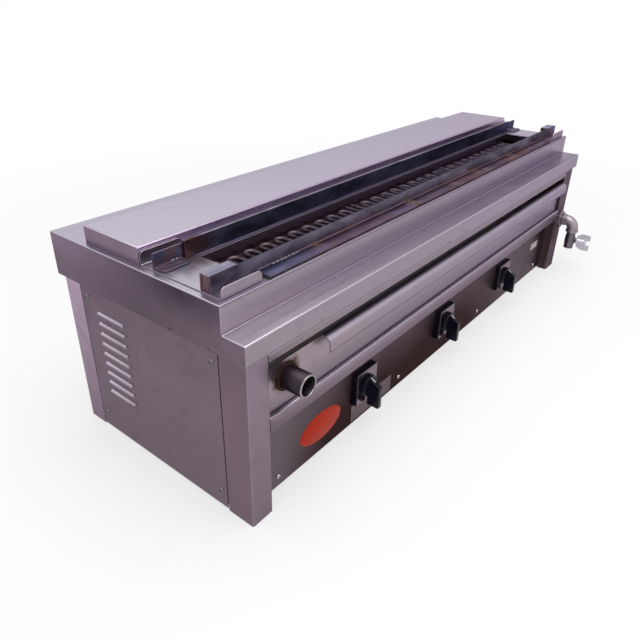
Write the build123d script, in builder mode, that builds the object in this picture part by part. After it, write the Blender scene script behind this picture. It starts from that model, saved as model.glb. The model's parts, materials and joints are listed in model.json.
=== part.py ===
from build123d import *
from math import cos, radians, sin
import os

os.makedirs("parts", exist_ok=True)

# Counter-top electric broiler for skewers: a stepped sheet-steel deck on four folded legs.
# Millimetres, +X to the right, +Y to the back, +Z up, origin on the floor below the middle.

# Sheet metal
SHEET = 1.5
BEND = 2.5
PANEL_GAP = 1.0
SLIDE_GAP = 0.3
RUNNING_FIT = 0.05

# Deck
DECK_LENGTH = 1200.0
DECK_DEPTH = 412.0
DECK_TOP = 335.0
LEDGE_TOP = 295.0
LEDGE_DEPTH = 40.0
BODY_TOP = 265.0
SKIRT_HEM = 34.0
OVERHANG_RIGHT = 27.0
OVERHANG_REAR = 21.0

# Heater well in the deck, measured back from the front of the skirt
WELL_HALF_LENGTH = 517.0
WELL_FRONT = 76.0
WELL_REAR = 167.0
WELL_WALL = 16.0

# Terminal opening in the deck, below the rear cover
HATCH_HALF_LENGTH = 562.0
HATCH_FRONT = 217.0
HATCH_REAR = 318.0
HATCH_RIM = 10.0

# Rear cover
COVER_HALF_LENGTH = 590.0
COVER_FRONT = 204.5
COVER_DEPTH = 124.0
COVER_HEIGHT = 26.0
COVER_SHEET = 1.2

# Legs
LEG_WIDE = 48.0
LEG_NARROW = 40.0
PANEL_RECESS = 24.0
BACKING_LAP = 10.0
BACKING_REACH = 30.0
BACKING_FOOT = 10.0

# Panels
PANEL_FOOT = 3.5
SCREW_INSET = 13.0
SCREW_LOW = 32.0
SCREW_HIGH = 249.5
SCREW_RADIUS = 2.0
SCREW_HEAD_RADIUS = 4.0
SCREW_HEAD_HEIGHT = 2.4
SCREW_HEAD_DRAFT = 30.0
PANEL_SCREW_Z = 21.0
FLANGE_DEPTH = 22.0
LOUVRE_COUNT = 9
LOUVRE_LENGTH = 66.0
LOUVRE_WIDTH = 11.0
LOUVRE_RISE = 4.0
LOUVRE_PITCH = 17.7
LOUVRE_TOP = 228.0
LOUVRE_SETBACK = 110.0
LOUVRE_DRAFT = 40.0

# Front rails
UPPER_RAIL_HEIGHT = 11.5
LOWER_RAIL_TOP = 166.0
LOWER_RAIL_HEIGHT = 25.0
RAIL_FLANGE = 60.0

# Water tray
TRAY_SETBACK = 7.0
TRAY_SIDE_GAP = 5.0
TRAY_TOP = 240.5
TRAY_DEPTH = 250.0
TRAY_WALL = 64.0
TRAY_SHEET = 1.2
LIP_START = 114.0
LIP_REACH = 16.0
LIP_DROP = 7.5
LIP_HEIGHT = 17.0
DRAIN_RADIUS = 17.0
DRAIN_BORE = 13.8
DRAIN_LENGTH = 38.0
DRAIN_FROM_LEFT = 80.0
DRAIN_HEIGHT = 210.0

# Heaters
HEATER_COUNT = 3
TUBES_PER_HEATER = 20
TUBE_RADIUS = 3.25
TUBE_PITCH = 16.6
TUBE_DROP = 19.5
HAIRPIN_CLEAR = 2.5
TUBE_HOLE_CLEAR = 1.0
HALF_STEP = 22.5
TURN_STEPS = 4
STUD_RADIUS = 2.0
STUD_LENGTH = 15.0
SHEATH_REACH = 13.0
BUSH_RADIUS = 6.0
BUSH_FLANGE = 7.8
BUSH_LENGTH = 12.0
BUSH_COLLAR = 3.0
NUT_FLATS = 7.0
NUT_HEIGHT = 3.2
RAIL_SHELF = 20.0
RAIL_WEB = 18.0
RAIL_HALF_LENGTH = 514.0

# Terminal trough
TROUGH_HALF_LENGTH = 572.0
TROUGH_MARGIN = 8.0
TROUGH_DEPTH = 64.0
TROUGH_FLANGE = 9.0

# End plates on the deck
END_PLATE_OUTER = 589.0
END_PLATE_MARGIN = 1.5
END_PLATE_FRONT = 47.5
END_PLATE_REAR = 203.0
UPSTAND_FRONT = 16.5
UPSTAND_REAR = 20.0
UPSTAND_CORNER = 7.0

# Front rest
IRON = 3.0
FRONT_REST_HALF_LENGTH = 586.0
FRONT_REST_FACE = 68.0
FRONT_REST_HEIGHT = 22.5
FRONT_REST_SHELF = 22.5
FRONT_REST_TRIM = 79.0
BLOCK_LENGTH = 48.0
BLOCK_DEPTH = 17.0

# Rear rest
REAR_REST_HALF_LENGTH = 538.0
REAR_REST_FACE = 171.5
REAR_REST_HEIGHT = 26.5
REAR_REST_THICKNESS = 4.5
FOOT_OUTER = 587.0
FOOT_LAP = 18.0
FOOT_HEIGHT = 22.5
FOOT_SHELF = 20.5
FOOT_CORNER = 8.0
FOOT_GAP = 1.0

# Rotary switches
SWITCH_COUNT = 3
SWITCH_FROM_LEFT = 293.0
SWITCH_PITCH = 282.0
SWITCH_HEIGHT = 74.5
BEZEL_WIDTH = 58.0
BEZEL_HEIGHT = 62.0
BEZEL_DEPTH = 8.0
BEZEL_CORNER = 2.0
PLATE_INSET = 1.0
PLATE_DEPTH = 1.0
SWITCH_BODY_SIZE = 52.0
SWITCH_BODY_DEPTH = 62.0
SHAFT_RADIUS = 4.0
SHAFT_INSIDE = 30.0
SHAFT_IN_KNOB = 12.0
KNOB_GAP = 0.5
KNOB_RADIUS = 20.0
KNOB_SKIRT = 7.0
KNOB_DEPTH = 27.0
KNOB_WIDTH = 10.0
KNOB_RISE = 17.0
KNOB_BROW = 5.0
KNOB_DROP = 36.5
KNOB_HEEL = 3.5
KNOB_TAPER = 5.0
KNOB_EDGE = 1.2

# Water inlet and valve
INLET_FROM_RIGHT = 19.0
INLET_HEIGHT = 136.5
NIPPLE_RADIUS = 10.65
NIPPLE_BORE = 8.0
NIPPLE_INSIDE = 34.0
LOCKNUT_FLATS = 38.0
BACKNUT_FLATS = 30.0
LOCKNUT_HEIGHT = 7.0
ELBOW_REACH = 36.0
ELBOW_LEG = 27.0
ELBOW_RADIUS = 13.3
ELBOW_COLLAR = 14.8
ELBOW_COLLAR_LENGTH = 6.0
ELBOW_BEND = 19.0
SOCKET_DEPTH = 11.0
VALVE_LENGTH = 44.0
VALVE_NECK = 11.0
VALVE_BARREL = 12.2
VALVE_BARREL_LENGTH = 24.0
VALVE_HEX = 20.5
VALVE_HEX_LENGTH = 13.0
BARREL_CHAMFER = 2.0
BALL_RADIUS = 8.5
BALL_BORE = 5.5
THREAD_RADIUS = 7.5
THREAD_LENGTH = 11.0
STEM_RADIUS = 3.5
STEM_BOSS = 6.5
STEM_BOSS_REACH = 16.0
HANDLE_GAP = 1.5
HANDLE_REACH = 50.0
HANDLE_HUB = 7.5
HANDLE_HUB_LENGTH = 19.0
WING_THICKNESS = 3.0
WING_SPREAD = 21.0
WING_WIDTH = 15.0
WING_SHOULDER = 14.0
WING_ROOT = 12.0
HANDLE_NUT_FLATS = 9.0
HANDLE_NUT_HEIGHT = 4.0
FILL_TUBE_RADIUS = 6.35
FILL_TUBE_WALL = 1.0
FILL_BEND = 16.0
FILL_SETBACK = 62.0
FILL_ABOVE_TRAY = 20.0
FILL_OVER_TRAY = 36.0
FILL_SPOUT = 13.0
FILL_NUT_LENGTH = 9.0

# Cable entry and terminal block
GROMMET_FROM_RIGHT = 170.0
GROMMET_HEIGHT = 70.0
GROMMET_BORE = 9.0
GROMMET_NECK = 13.0
GROMMET_FLANGE = 17.0
GROMMET_LIP = 4.0
TERMINAL_BLOCK_LENGTH = 96.0
TERMINAL_BLOCK_DEPTH = 36.0
TERMINAL_BLOCK_HEIGHT = 16.0
TERMINAL_RIB_HEIGHT = 10.0
TERMINAL_RIB = 3.0
TERMINAL_WAYS = 4
TERMINAL_SETBACK = 60.0

# Places that follow from the sizes
FRONT = (ELBOW_REACH + HANDLE_REACH - DECK_DEPTH) / 2
MIDDLE = LOUVRE_RISE / 2
LEFT = MIDDLE - DECK_LENGTH / 2
RIGHT = MIDDLE + DECK_LENGTH / 2 - OVERHANG_RIGHT
REAR = FRONT + DECK_DEPTH - OVERHANG_REAR
FRAME_MIDDLE = (LEFT + LEG_NARROW + RIGHT - LEG_WIDE) / 2
PANEL_HEAD = BODY_TOP - 2 * SHEET
SHELF_TOP = LOWER_RAIL_TOP + SHEET
TRAY_FLOOR = SHELF_TOP + SLIDE_GAP
TRAY_LEFT = LEFT + LEG_NARROW + TRAY_SIDE_GAP
TRAY_RIGHT = RIGHT - LEG_WIDE - TRAY_SIDE_GAP
TUBE_Z = DECK_TOP - TUBE_DROP
RAIL_Z = TUBE_Z - TUBE_RADIUS - SHEET
REST_Z = DECK_TOP + SHEET
TROUGH_FRONT = FRONT + HATCH_FRONT - TROUGH_MARGIN
TROUGH_REAR = FRONT + HATCH_REAR + TROUGH_MARGIN
TUBE_END = TROUGH_FRONT + SHEATH_REACH
INLET_X = RIGHT - INLET_FROM_RIGHT
VALVE_Y = FRONT - ELBOW_REACH
VALVE_TOP = INLET_HEIGHT - ELBOW_LEG
BALL_Z = VALVE_TOP - VALVE_LENGTH / 2
PANEL_FACE = FRONT + PANEL_RECESS
SWITCH_XS = [LEFT + SWITCH_FROM_LEFT + i * SWITCH_PITCH for i in range(SWITCH_COUNT)]
SIDES = ("left", "middle", "right")


def save(piece, label):
    """Name a finished piece and write it to its own file."""
    piece.part.label = label
    export_step(piece.part, f"parts/{label}.step")


def area(x0, x1, y0, y1, mode=Mode.ADD):
    """Rectangle between two corners in the sketch being drawn."""
    with Locations(((x0 + x1) / 2, (y0 + y1) / 2)):
        Rectangle(abs(x1 - x0), abs(y1 - y0), mode=mode)


def folded(plane, points, length, side, sheet=SHEET, mode=Mode.ADD):
    """Sheet strip bent along a profile and drawn out square to the profile's plane."""
    with BuildSketch(plane) as profile:
        with BuildLine():
            FilletPolyline(*points, radius=BEND)
            offset(amount=sheet, side=side)
        make_face()
    extrude(profile.sketch, amount=length, mode=mode)


def round_y(x, z, radius, y0, y1, mode=Mode.ADD):
    """Round bar along Y, or a hole of that shape."""
    with Locations((x, (y0 + y1) / 2, z)):
        Cylinder(radius, abs(y1 - y0), rotation=(90, 0, 0), mode=mode)


def round_x(y, z, radius, x0, x1, mode=Mode.ADD):
    """Round bar along X, or a hole of that shape."""
    with Locations(((x0 + x1) / 2, y, z)):
        Cylinder(radius, abs(x1 - x0), rotation=(0, 90, 0), mode=mode)


def across(half):
    """Left and right limits of a length centred on the deck."""
    return MIDDLE - half, MIDDLE + half


def at_y(y):
    """Plane facing the front, with X to the right and Z up, at one depth."""
    return Plane.XZ.offset(-y)


# Legs
def leg(corner, into, widths, is_front, inlet=False):
    """Corner post folded from sheet, with strips behind the edges of the panels beside it."""
    cx, cy = corner
    ix, iy = into
    wx, wy = widths
    points = [(cx + ix * wx, cy), (cx, cy), (cx, cy + iy * wy)]
    if is_front:
        points.insert(0, (cx + ix * wx, cy + iy * PANEL_RECESS))
    side_screw_y = cy + iy * (wy + PANEL_GAP + SCREW_INSET)
    rear_screw_x = cx + ix * (wx + PANEL_GAP + SCREW_INSET)
    with BuildPart() as post:
        with BuildSketch():
            with BuildLine():
                FilletPolyline(*points, radius=BEND)
                offset(amount=SHEET, side=Side.RIGHT if ix * iy > 0 else Side.LEFT)
            make_face()
        extrude(amount=BODY_TOP)
        with BuildSketch(Plane.XY.offset(BACKING_FOOT)):
            area(
                cx + ix * SHEET,
                cx + ix * 2 * SHEET,
                cy + iy * (wy - BACKING_LAP),
                cy + iy * (wy + BACKING_REACH),
            )
            if not is_front:
                area(
                    cx + ix * (wx - BACKING_LAP),
                    cx + ix * (wx + BACKING_REACH),
                    cy + iy * SHEET,
                    cy + iy * 2 * SHEET,
                )
        extrude(amount=BODY_TOP - BACKING_FOOT)
        for z in (SCREW_LOW, SCREW_HIGH):
            screw_hole = SCREW_RADIUS + RUNNING_FIT
            round_x(side_screw_y, z, screw_hole, cx, cx + ix * 3 * SHEET, Mode.SUBTRACT)
            if not is_front:
                round_y(rear_screw_x, z, screw_hole, cy, cy + iy * 3 * SHEET, Mode.SUBTRACT)
        if inlet:
            inlet_hole = NIPPLE_RADIUS + RUNNING_FIT
            round_y(INLET_X, INLET_HEIGHT, inlet_hole, FRONT, FRONT + 2 * SHEET, Mode.SUBTRACT)
    return post


save(leg((LEFT, FRONT), (1, 1), (LEG_NARROW, LEG_WIDE), True), "front_left_leg")
save(leg((RIGHT, FRONT), (-1, 1), (LEG_WIDE, LEG_NARROW), True, inlet=True), "front_right_leg")
save(leg((LEFT, REAR), (1, -1), (LEG_WIDE, LEG_NARROW), False), "rear_left_leg")
save(leg((RIGHT, REAR), (-1, -1), (LEG_NARROW, LEG_WIDE), False), "rear_right_leg")


# Side panels with pressed louvres
def side_panel(face_x, outward, y0, y1, louvre_y):
    """Flat panel between two legs, with a column of louvres that open downwards."""
    face = Plane(origin=(face_x, 0, 0), x_dir=(0, outward, 0), z_dir=(outward, 0, 0))
    middle = outward * louvre_y, LOUVRE_TOP - LOUVRE_PITCH * (LOUVRE_COUNT - 1) / 2
    slope = LOUVRE_RISE * sin(radians(LOUVRE_DRAFT)) / cos(radians(LOUVRE_DRAFT))
    with BuildPart() as panel:
        with BuildSketch(face):
            area(outward * y0, outward * y1, PANEL_FOOT, PANEL_HEAD)
        extrude(amount=-SHEET)
        with BuildSketch(face):
            with Locations(middle):
                with GridLocations(0, LOUVRE_PITCH, 1, LOUVRE_COUNT):
                    SlotOverall(LOUVRE_LENGTH, LOUVRE_WIDTH)
        extrude(amount=LOUVRE_RISE, taper=LOUVRE_DRAFT)
        with BuildSketch(face.offset(-SHEET)):
            with Locations(middle):
                with GridLocations(0, LOUVRE_PITCH, 1, LOUVRE_COUNT):
                    SlotOverall(LOUVRE_LENGTH - 2 * SHEET, LOUVRE_WIDTH - 2 * SHEET)
        extrude(amount=LOUVRE_RISE, taper=LOUVRE_DRAFT / 2, mode=Mode.SUBTRACT)
        with BuildSketch(face):
            with Locations((middle[0], middle[1] - LOUVRE_WIDTH / 2 + slope / 2)):
                with GridLocations(0, LOUVRE_PITCH, 1, LOUVRE_COUNT):
                    Rectangle(LOUVRE_LENGTH - LOUVRE_WIDTH, slope)
        extrude(amount=LOUVRE_RISE, mode=Mode.SUBTRACT)
        for y in (y0 + SCREW_INSET, y1 - SCREW_INSET):
            for z in (SCREW_LOW, SCREW_HIGH):
                hole = SCREW_RADIUS + RUNNING_FIT
                round_x(y, z, hole, face_x, face_x - outward * 2 * SHEET, Mode.SUBTRACT)
    return panel


LEFT_PANEL_Y = (FRONT + LEG_WIDE + PANEL_GAP, REAR - LEG_NARROW - PANEL_GAP)
RIGHT_PANEL_Y = (FRONT + LEG_NARROW + PANEL_GAP, REAR - LEG_WIDE - PANEL_GAP)
save(side_panel(LEFT, -1, *LEFT_PANEL_Y, REAR - LOUVRE_SETBACK), "left_side_panel")
save(side_panel(RIGHT, 1, *RIGHT_PANEL_Y, REAR - LOUVRE_SETBACK), "right_side_panel")

# Rear panel, with a foot flange and a cable hole
REAR_PANEL_X = (LEFT + LEG_WIDE + PANEL_GAP, RIGHT - LEG_NARROW - PANEL_GAP)
GROMMET_X = RIGHT - GROMMET_FROM_RIGHT
REAR_SCREW_XS = (
    REAR_PANEL_X[0] + SCREW_INSET,
    REAR_PANEL_X[1] - SCREW_INSET,
)
with BuildPart() as rear_panel:
    folded(
        Plane.YZ.offset(REAR_PANEL_X[0]),
        [(REAR - FLANGE_DEPTH, PANEL_FOOT - SHEET), (REAR, PANEL_FOOT - SHEET), (REAR, PANEL_HEAD)],
        REAR_PANEL_X[1] - REAR_PANEL_X[0],
        Side.LEFT,
    )
    round_y(GROMMET_X, GROMMET_HEIGHT, GROMMET_NECK, REAR - 2 * SHEET, REAR, Mode.SUBTRACT)
    for x in REAR_SCREW_XS:
        for z in (SCREW_LOW, SCREW_HIGH):
            round_y(x, z, SCREW_RADIUS + RUNNING_FIT, REAR - 2 * SHEET, REAR, Mode.SUBTRACT)
save(rear_panel, "rear_panel")

# Front rails between the front legs
RAIL_X = (LEFT + LEG_NARROW, RIGHT - LEG_WIDE)
with BuildPart() as upper_front_rail:
    folded(
        Plane.YZ.offset(RAIL_X[0]),
        [(FRONT, BODY_TOP - UPPER_RAIL_HEIGHT), (FRONT, BODY_TOP), (FRONT + SKIRT_HEM, BODY_TOP)],
        RAIL_X[1] - RAIL_X[0],
        Side.RIGHT,
    )
save(upper_front_rail, "upper_front_rail")

with BuildPart() as lower_front_rail:
    folded(
        Plane.YZ.offset(RAIL_X[0]),
        [
            (PANEL_FACE, LOWER_RAIL_TOP - LOWER_RAIL_HEIGHT),
            (FRONT, LOWER_RAIL_TOP - LOWER_RAIL_HEIGHT),
            (FRONT, LOWER_RAIL_TOP),
            (FRONT + RAIL_FLANGE, LOWER_RAIL_TOP),
        ],
        RAIL_X[1] - RAIL_X[0],
        Side.RIGHT,
    )
save(lower_front_rail, "lower_front_rail")

# Recessed switch panel, with a foot flange that carries the bottom plate
INNER_LEFT = LEFT + 2 * SHEET
INNER_RIGHT = RIGHT - 2 * SHEET
PANEL_X = (RAIL_X[0] - BACKING_LAP, RAIL_X[1] + BACKING_LAP)
PANEL_SCREW_PITCH = (RAIL_X[1] - RAIL_X[0] - 6 * SCREW_INSET) / 3
PANEL_SCREW_XS = [FRAME_MIDDLE + (i - 1.5) * PANEL_SCREW_PITCH for i in range(4)]
with BuildPart() as switch_panel:
    folded(
        Plane.YZ.offset(PANEL_X[0]),
        [
            (PANEL_FACE, LOWER_RAIL_TOP - SHEET),
            (PANEL_FACE, PANEL_FOOT - SHEET),
            (PANEL_FACE + FLANGE_DEPTH, PANEL_FOOT - SHEET),
        ],
        PANEL_X[1] - PANEL_X[0],
        Side.LEFT,
    )
    for x in SWITCH_XS:
        shaft_hole = SHAFT_RADIUS + RUNNING_FIT
        round_y(x, SWITCH_HEIGHT, shaft_hole, PANEL_FACE, PANEL_FACE + 2 * SHEET, Mode.SUBTRACT)
    for x in PANEL_SCREW_XS:
        screw_hole = SCREW_RADIUS + RUNNING_FIT
        round_y(x, PANEL_SCREW_Z, screw_hole, PANEL_FACE, PANEL_FACE + 2 * SHEET, Mode.SUBTRACT)
save(switch_panel, "switch_panel")

# Bottom plate on the foot flanges of the front and rear panels
with BuildPart() as bottom_plate:
    with BuildSketch(Plane.XY.offset(PANEL_FOOT)):
        area(*REAR_PANEL_X, PANEL_FACE + BEND + SHEET, REAR - BEND - SHEET)
    extrude(amount=SHEET)
save(bottom_plate, "bottom_plate")

# Shelf that the tray slides on, with its edges turned down against the leg strips
SHELF_REAR = REAR - 2 * SHEET
with BuildPart() as tray_shelf:
    with BuildSketch(Plane.XY.offset(SHELF_TOP)):
        area(INNER_LEFT, INNER_RIGHT, FRONT + PANEL_RECESS + BEND, SHELF_REAR)
    extrude(amount=-FLANGE_DEPTH)
    with BuildSketch(Plane.XY.offset(SHELF_TOP - SHEET)):
        area(INNER_LEFT + SHEET, INNER_RIGHT - SHEET, FRONT, SHELF_REAR - SHEET)
    extrude(amount=-FLANGE_DEPTH, mode=Mode.SUBTRACT)
    with BuildSketch(Plane.XY.offset(SHELF_TOP)):
        with Locations((INLET_X, FRONT + FILL_SETBACK)):
            Circle(FILL_TUBE_RADIUS + SLIDE_GAP)
    extrude(amount=-2 * SHEET, mode=Mode.SUBTRACT)
save(tray_shelf, "tray_shelf")

# Top deck: stepped hood with a hem below the skirt, a heater well and a rimmed hatch
with BuildPart() as top_deck:
    with BuildSketch(Plane.YZ.offset(LEFT)):
        with BuildLine():
            Polyline(
                (FRONT, BODY_TOP),
                (FRONT, LEDGE_TOP),
                (FRONT + LEDGE_DEPTH, LEDGE_TOP),
                (FRONT + LEDGE_DEPTH, DECK_TOP),
                (FRONT + DECK_DEPTH, DECK_TOP),
                (FRONT + DECK_DEPTH, BODY_TOP),
                close=True,
            )
        make_face()
    extrude(amount=DECK_LENGTH)
    fillet(top_deck.edges().filter_by(lambda e: e.bounding_box().max.Z > BODY_TOP + SHEET), BEND)
    deck_bottom = top_deck.faces().sort_by(Axis.Z)[0]
    offset(amount=-SHEET, openings=deck_bottom)
    with BuildSketch(Plane.XY.offset(BODY_TOP)):
        area(
            *across(DECK_LENGTH / 2 - SHEET),
            FRONT + SHEET,
            FRONT + DECK_DEPTH - SHEET,
        )
        area(
            LEFT + SKIRT_HEM,
            RIGHT - SKIRT_HEM,
            FRONT + SKIRT_HEM,
            REAR - SKIRT_HEM,
            Mode.SUBTRACT,
        )
    extrude(amount=SHEET)
    with BuildSketch(Plane.XY.offset(DECK_TOP)):
        area(
            *across(WELL_HALF_LENGTH + SHEET),
            FRONT + WELL_FRONT - SHEET,
            FRONT + WELL_REAR + SHEET,
        )
    extrude(amount=-WELL_WALL)
    with BuildSketch(Plane.XY.offset(DECK_TOP)):
        area(*across(WELL_HALF_LENGTH), FRONT + WELL_FRONT, FRONT + WELL_REAR)
    extrude(amount=-WELL_WALL, mode=Mode.SUBTRACT)
    with BuildSketch(Plane.XY.offset(DECK_TOP + HATCH_RIM)):
        area(
            *across(HATCH_HALF_LENGTH + SHEET),
            FRONT + HATCH_FRONT - SHEET,
            FRONT + HATCH_REAR + SHEET,
        )
    extrude(amount=-HATCH_RIM - SHEET)
    with BuildSketch(Plane.XY.offset(DECK_TOP + HATCH_RIM)):
        area(*across(HATCH_HALF_LENGTH), FRONT + HATCH_FRONT, FRONT + HATCH_REAR)
    extrude(amount=-HATCH_RIM - 2 * SHEET, mode=Mode.SUBTRACT)
save(top_deck, "top_deck")

# Heater tubes: each runs to and fro across the well and leaves at the back at both ends
HAIRPIN = TUBE_PITCH / 2
TUBE_FRONT = FRONT + WELL_FRONT + HAIRPIN_CLEAR + TUBE_RADIUS + HAIRPIN
TUBE_REAR = FRONT + WELL_REAR - HAIRPIN_CLEAR - TUBE_RADIUS - HAIRPIN
HEATER_PITCH = TUBES_PER_HEATER * TUBE_PITCH
FIRST_TUBE_X = MIDDLE - (HEATER_COUNT * HEATER_PITCH - TUBE_PITCH) / 2


def heater_route(x0):
    """Corners of one tube's centre line, with each half turn taken in equal steps."""
    reach = HAIRPIN / cos(radians(HALF_STEP))
    corners = [(x0, TUBE_END)]
    for i in range(TUBES_PER_HEATER - 1):
        towards_front = i % 2 == 0
        turn_y = TUBE_FRONT if towards_front else TUBE_REAR
        way = -1 if towards_front else 1
        for step in range(TURN_STEPS):
            angle = radians(HALF_STEP + 2 * HALF_STEP * step)
            x = x0 + i * TUBE_PITCH + HAIRPIN - reach * cos(angle)
            corners.append((x, turn_y + way * reach * sin(angle)))
    corners.append((x0 + (TUBES_PER_HEATER - 1) * TUBE_PITCH, TUBE_END))
    return corners


TERMINALS = []
for number in range(HEATER_COUNT):
    start_x = FIRST_TUBE_X + number * HEATER_PITCH
    end_x = start_x + (TUBES_PER_HEATER - 1) * TUBE_PITCH
    TERMINALS += [start_x, end_x]
    with BuildPart() as heater:
        with BuildLine(Plane.XY.offset(TUBE_Z)) as route:
            Polyline(*heater_route(start_x))
        with BuildSketch(Plane(origin=(start_x, TUBE_END, TUBE_Z), z_dir=(0, -1, 0))):
            RegularPolygon(TUBE_RADIUS, 8, major_radius=False, rotation=HALF_STEP)
        sweep(path=route.wires()[0], transition=Transition.RIGHT)
        for x in (start_x, end_x):
            round_y(x, TUBE_Z, STUD_RADIUS, TUBE_END, TUBE_END + STUD_LENGTH)
    save(heater, f"heater_{SIDES[number]}")

# Rails below the heater tubes, hung on the long walls of the well
TUBE_HOLE = TUBE_RADIUS + TUBE_HOLE_CLEAR
REAR_WEB = FRONT + WELL_REAR + 2 * SHEET
FRONT_WEB = FRONT + WELL_FRONT - 2 * SHEET
with BuildPart() as heater_rail_rear:
    folded(
        Plane.YZ.offset(MIDDLE - RAIL_HALF_LENGTH),
        [(REAR_WEB - RAIL_SHELF, RAIL_Z), (REAR_WEB, RAIL_Z), (REAR_WEB, RAIL_Z + RAIL_WEB)],
        2 * RAIL_HALF_LENGTH,
        Side.LEFT,
    )
    for x in TERMINALS:
        round_y(x, TUBE_Z, TUBE_HOLE, REAR_WEB - 2 * SHEET, REAR_WEB, Mode.SUBTRACT)
save(heater_rail_rear, "heater_rail_rear")

with BuildPart() as heater_rail_front:
    folded(
        Plane.YZ.offset(MIDDLE - RAIL_HALF_LENGTH),
        [(FRONT_WEB + RAIL_SHELF, RAIL_Z), (FRONT_WEB, RAIL_Z), (FRONT_WEB, RAIL_Z + RAIL_WEB)],
        2 * RAIL_HALF_LENGTH,
        Side.RIGHT,
    )
save(heater_rail_front, "heater_rail_front")

# Terminal trough below the hatch: an open box with a flange under the deck
TROUGH_TOP = DECK_TOP - SHEET
with BuildPart() as terminal_trough:
    with BuildSketch(Plane.XY.offset(TROUGH_TOP)):
        area(*across(TROUGH_HALF_LENGTH), TROUGH_FRONT, TROUGH_REAR)
    extrude(amount=-TROUGH_DEPTH)
    trough_mouth = terminal_trough.faces().sort_by(Axis.Z)[-1]
    offset(amount=-SHEET, openings=trough_mouth)
    with BuildSketch(Plane.XY.offset(TROUGH_TOP)):
        area(
            *across(TROUGH_HALF_LENGTH + TROUGH_FLANGE),
            TROUGH_FRONT - TROUGH_FLANGE,
            TROUGH_REAR + TROUGH_FLANGE,
        )
        area(
            *across(TROUGH_HALF_LENGTH - SHEET),
            TROUGH_FRONT + SHEET,
            TROUGH_REAR - SHEET,
            Mode.SUBTRACT,
        )
    extrude(amount=-SHEET)
    for x in TERMINALS:
        bush_hole = BUSH_RADIUS + RUNNING_FIT
        round_y(x, TUBE_Z, bush_hole, TROUGH_FRONT, TROUGH_FRONT + 2 * SHEET, Mode.SUBTRACT)
save(terminal_trough, "terminal_trough")

# Ceramic bushes round the heater ends, flanged against the front of the trough
BUSH_BORE = TUBE_RADIUS / cos(radians(HALF_STEP)) + RUNNING_FIT
with BuildPart() as terminal_insulators:
    for x in TERMINALS:
        round_y(x, TUBE_Z, BUSH_FLANGE, TROUGH_FRONT - BUSH_COLLAR, TROUGH_FRONT)
        round_y(x, TUBE_Z, BUSH_RADIUS, TROUGH_FRONT, TROUGH_FRONT + BUSH_LENGTH - BUSH_COLLAR)
        round_y(x, TUBE_Z, BUSH_BORE, TROUGH_FRONT - BUSH_COLLAR, TUBE_END, Mode.SUBTRACT)
save(terminal_insulators, "terminal_insulators")

with BuildPart() as terminal_nuts:
    with BuildSketch(at_y(TUBE_END + NUT_HEIGHT)):
        with Locations(*[(x, TUBE_Z) for x in TERMINALS]):
            RegularPolygon(NUT_FLATS / 2, 6, major_radius=False)
            Circle(STUD_RADIUS + RUNNING_FIT, mode=Mode.SUBTRACT)
    extrude(amount=NUT_HEIGHT)
save(terminal_nuts, "terminal_nuts")


# End plates: U-shaped trays on the ends of the deck, with rounded upstands
def end_plate(way):
    """Base plate at one end, with a low upstand at the front and a taller one at the back."""
    front, rear = FRONT + END_PLATE_FRONT, FRONT + END_PLATE_REAR
    inner = WELL_HALF_LENGTH + END_PLATE_MARGIN
    with BuildPart() as plate:
        folded(
            Plane.YZ.offset(MIDDLE + min(way * inner, way * END_PLATE_OUTER)),
            [
                (front, DECK_TOP + UPSTAND_FRONT),
                (front, DECK_TOP),
                (rear, DECK_TOP),
                (rear, DECK_TOP + UPSTAND_REAR),
            ],
            END_PLATE_OUTER - inner,
            Side.LEFT,
        )
        top_corners = plate.edges().filter_by(Axis.Y).filter_by(
            lambda e: e.center().Z > DECK_TOP + UPSTAND_FRONT - SHEET
        )
        fillet(top_corners, UPSTAND_CORNER)
    return plate


save(end_plate(-1), "left_end_plate")
save(end_plate(1), "right_end_plate")

# Front rest: iron angle standing on the end plates, its shelf trimmed short at both ends
FRONT_REST_Y = FRONT + FRONT_REST_FACE
FRONT_REST_TOP = REST_Z + FRONT_REST_HEIGHT
SHELF_HALF_LENGTH = FRONT_REST_HALF_LENGTH - FRONT_REST_TRIM
with BuildPart() as front_rest_bar:
    with BuildSketch(Plane.YZ.offset(MIDDLE - FRONT_REST_HALF_LENGTH)):
        area(FRONT_REST_Y, FRONT_REST_Y + IRON, REST_Z, FRONT_REST_TOP)
    extrude(amount=2 * FRONT_REST_HALF_LENGTH)
    with BuildSketch(Plane.YZ.offset(MIDDLE - SHELF_HALF_LENGTH)):
        area(FRONT_REST_Y - FRONT_REST_SHELF, FRONT_REST_Y, REST_Z, REST_Z + IRON)
    extrude(amount=2 * SHELF_HALF_LENGTH)
    root = front_rest_bar.edges().filter_by(Axis.X).filter_by(
        lambda e: abs(e.center().Y - FRONT_REST_Y) < 0.1 and abs(e.center().Z - REST_Z - IRON) < 0.1
    )
    fillet(root, IRON)
save(front_rest_bar, "front_rest_bar")

# Hollow blocks behind both ends of the front rest, open below and at the inner end
with BuildPart() as front_rest_blocks:
    for way in (-1, 1):
        outer = MIDDLE + way * FRONT_REST_HALF_LENGTH
        inner = MIDDLE + way * (FRONT_REST_HALF_LENGTH - BLOCK_LENGTH)
        back = FRONT_REST_Y + IRON + BLOCK_DEPTH
        with BuildSketch(Plane.XY.offset(REST_Z)):
            area(outer, inner, FRONT_REST_Y + IRON, back)
        extrude(amount=FRONT_REST_HEIGHT)
        with BuildSketch(Plane.XY.offset(REST_Z)):
            area(outer - way * IRON, inner, FRONT_REST_Y + 2 * IRON, back - IRON)
        extrude(amount=FRONT_REST_HEIGHT - IRON, mode=Mode.SUBTRACT)
save(front_rest_blocks, "front_rest_blocks")

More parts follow.
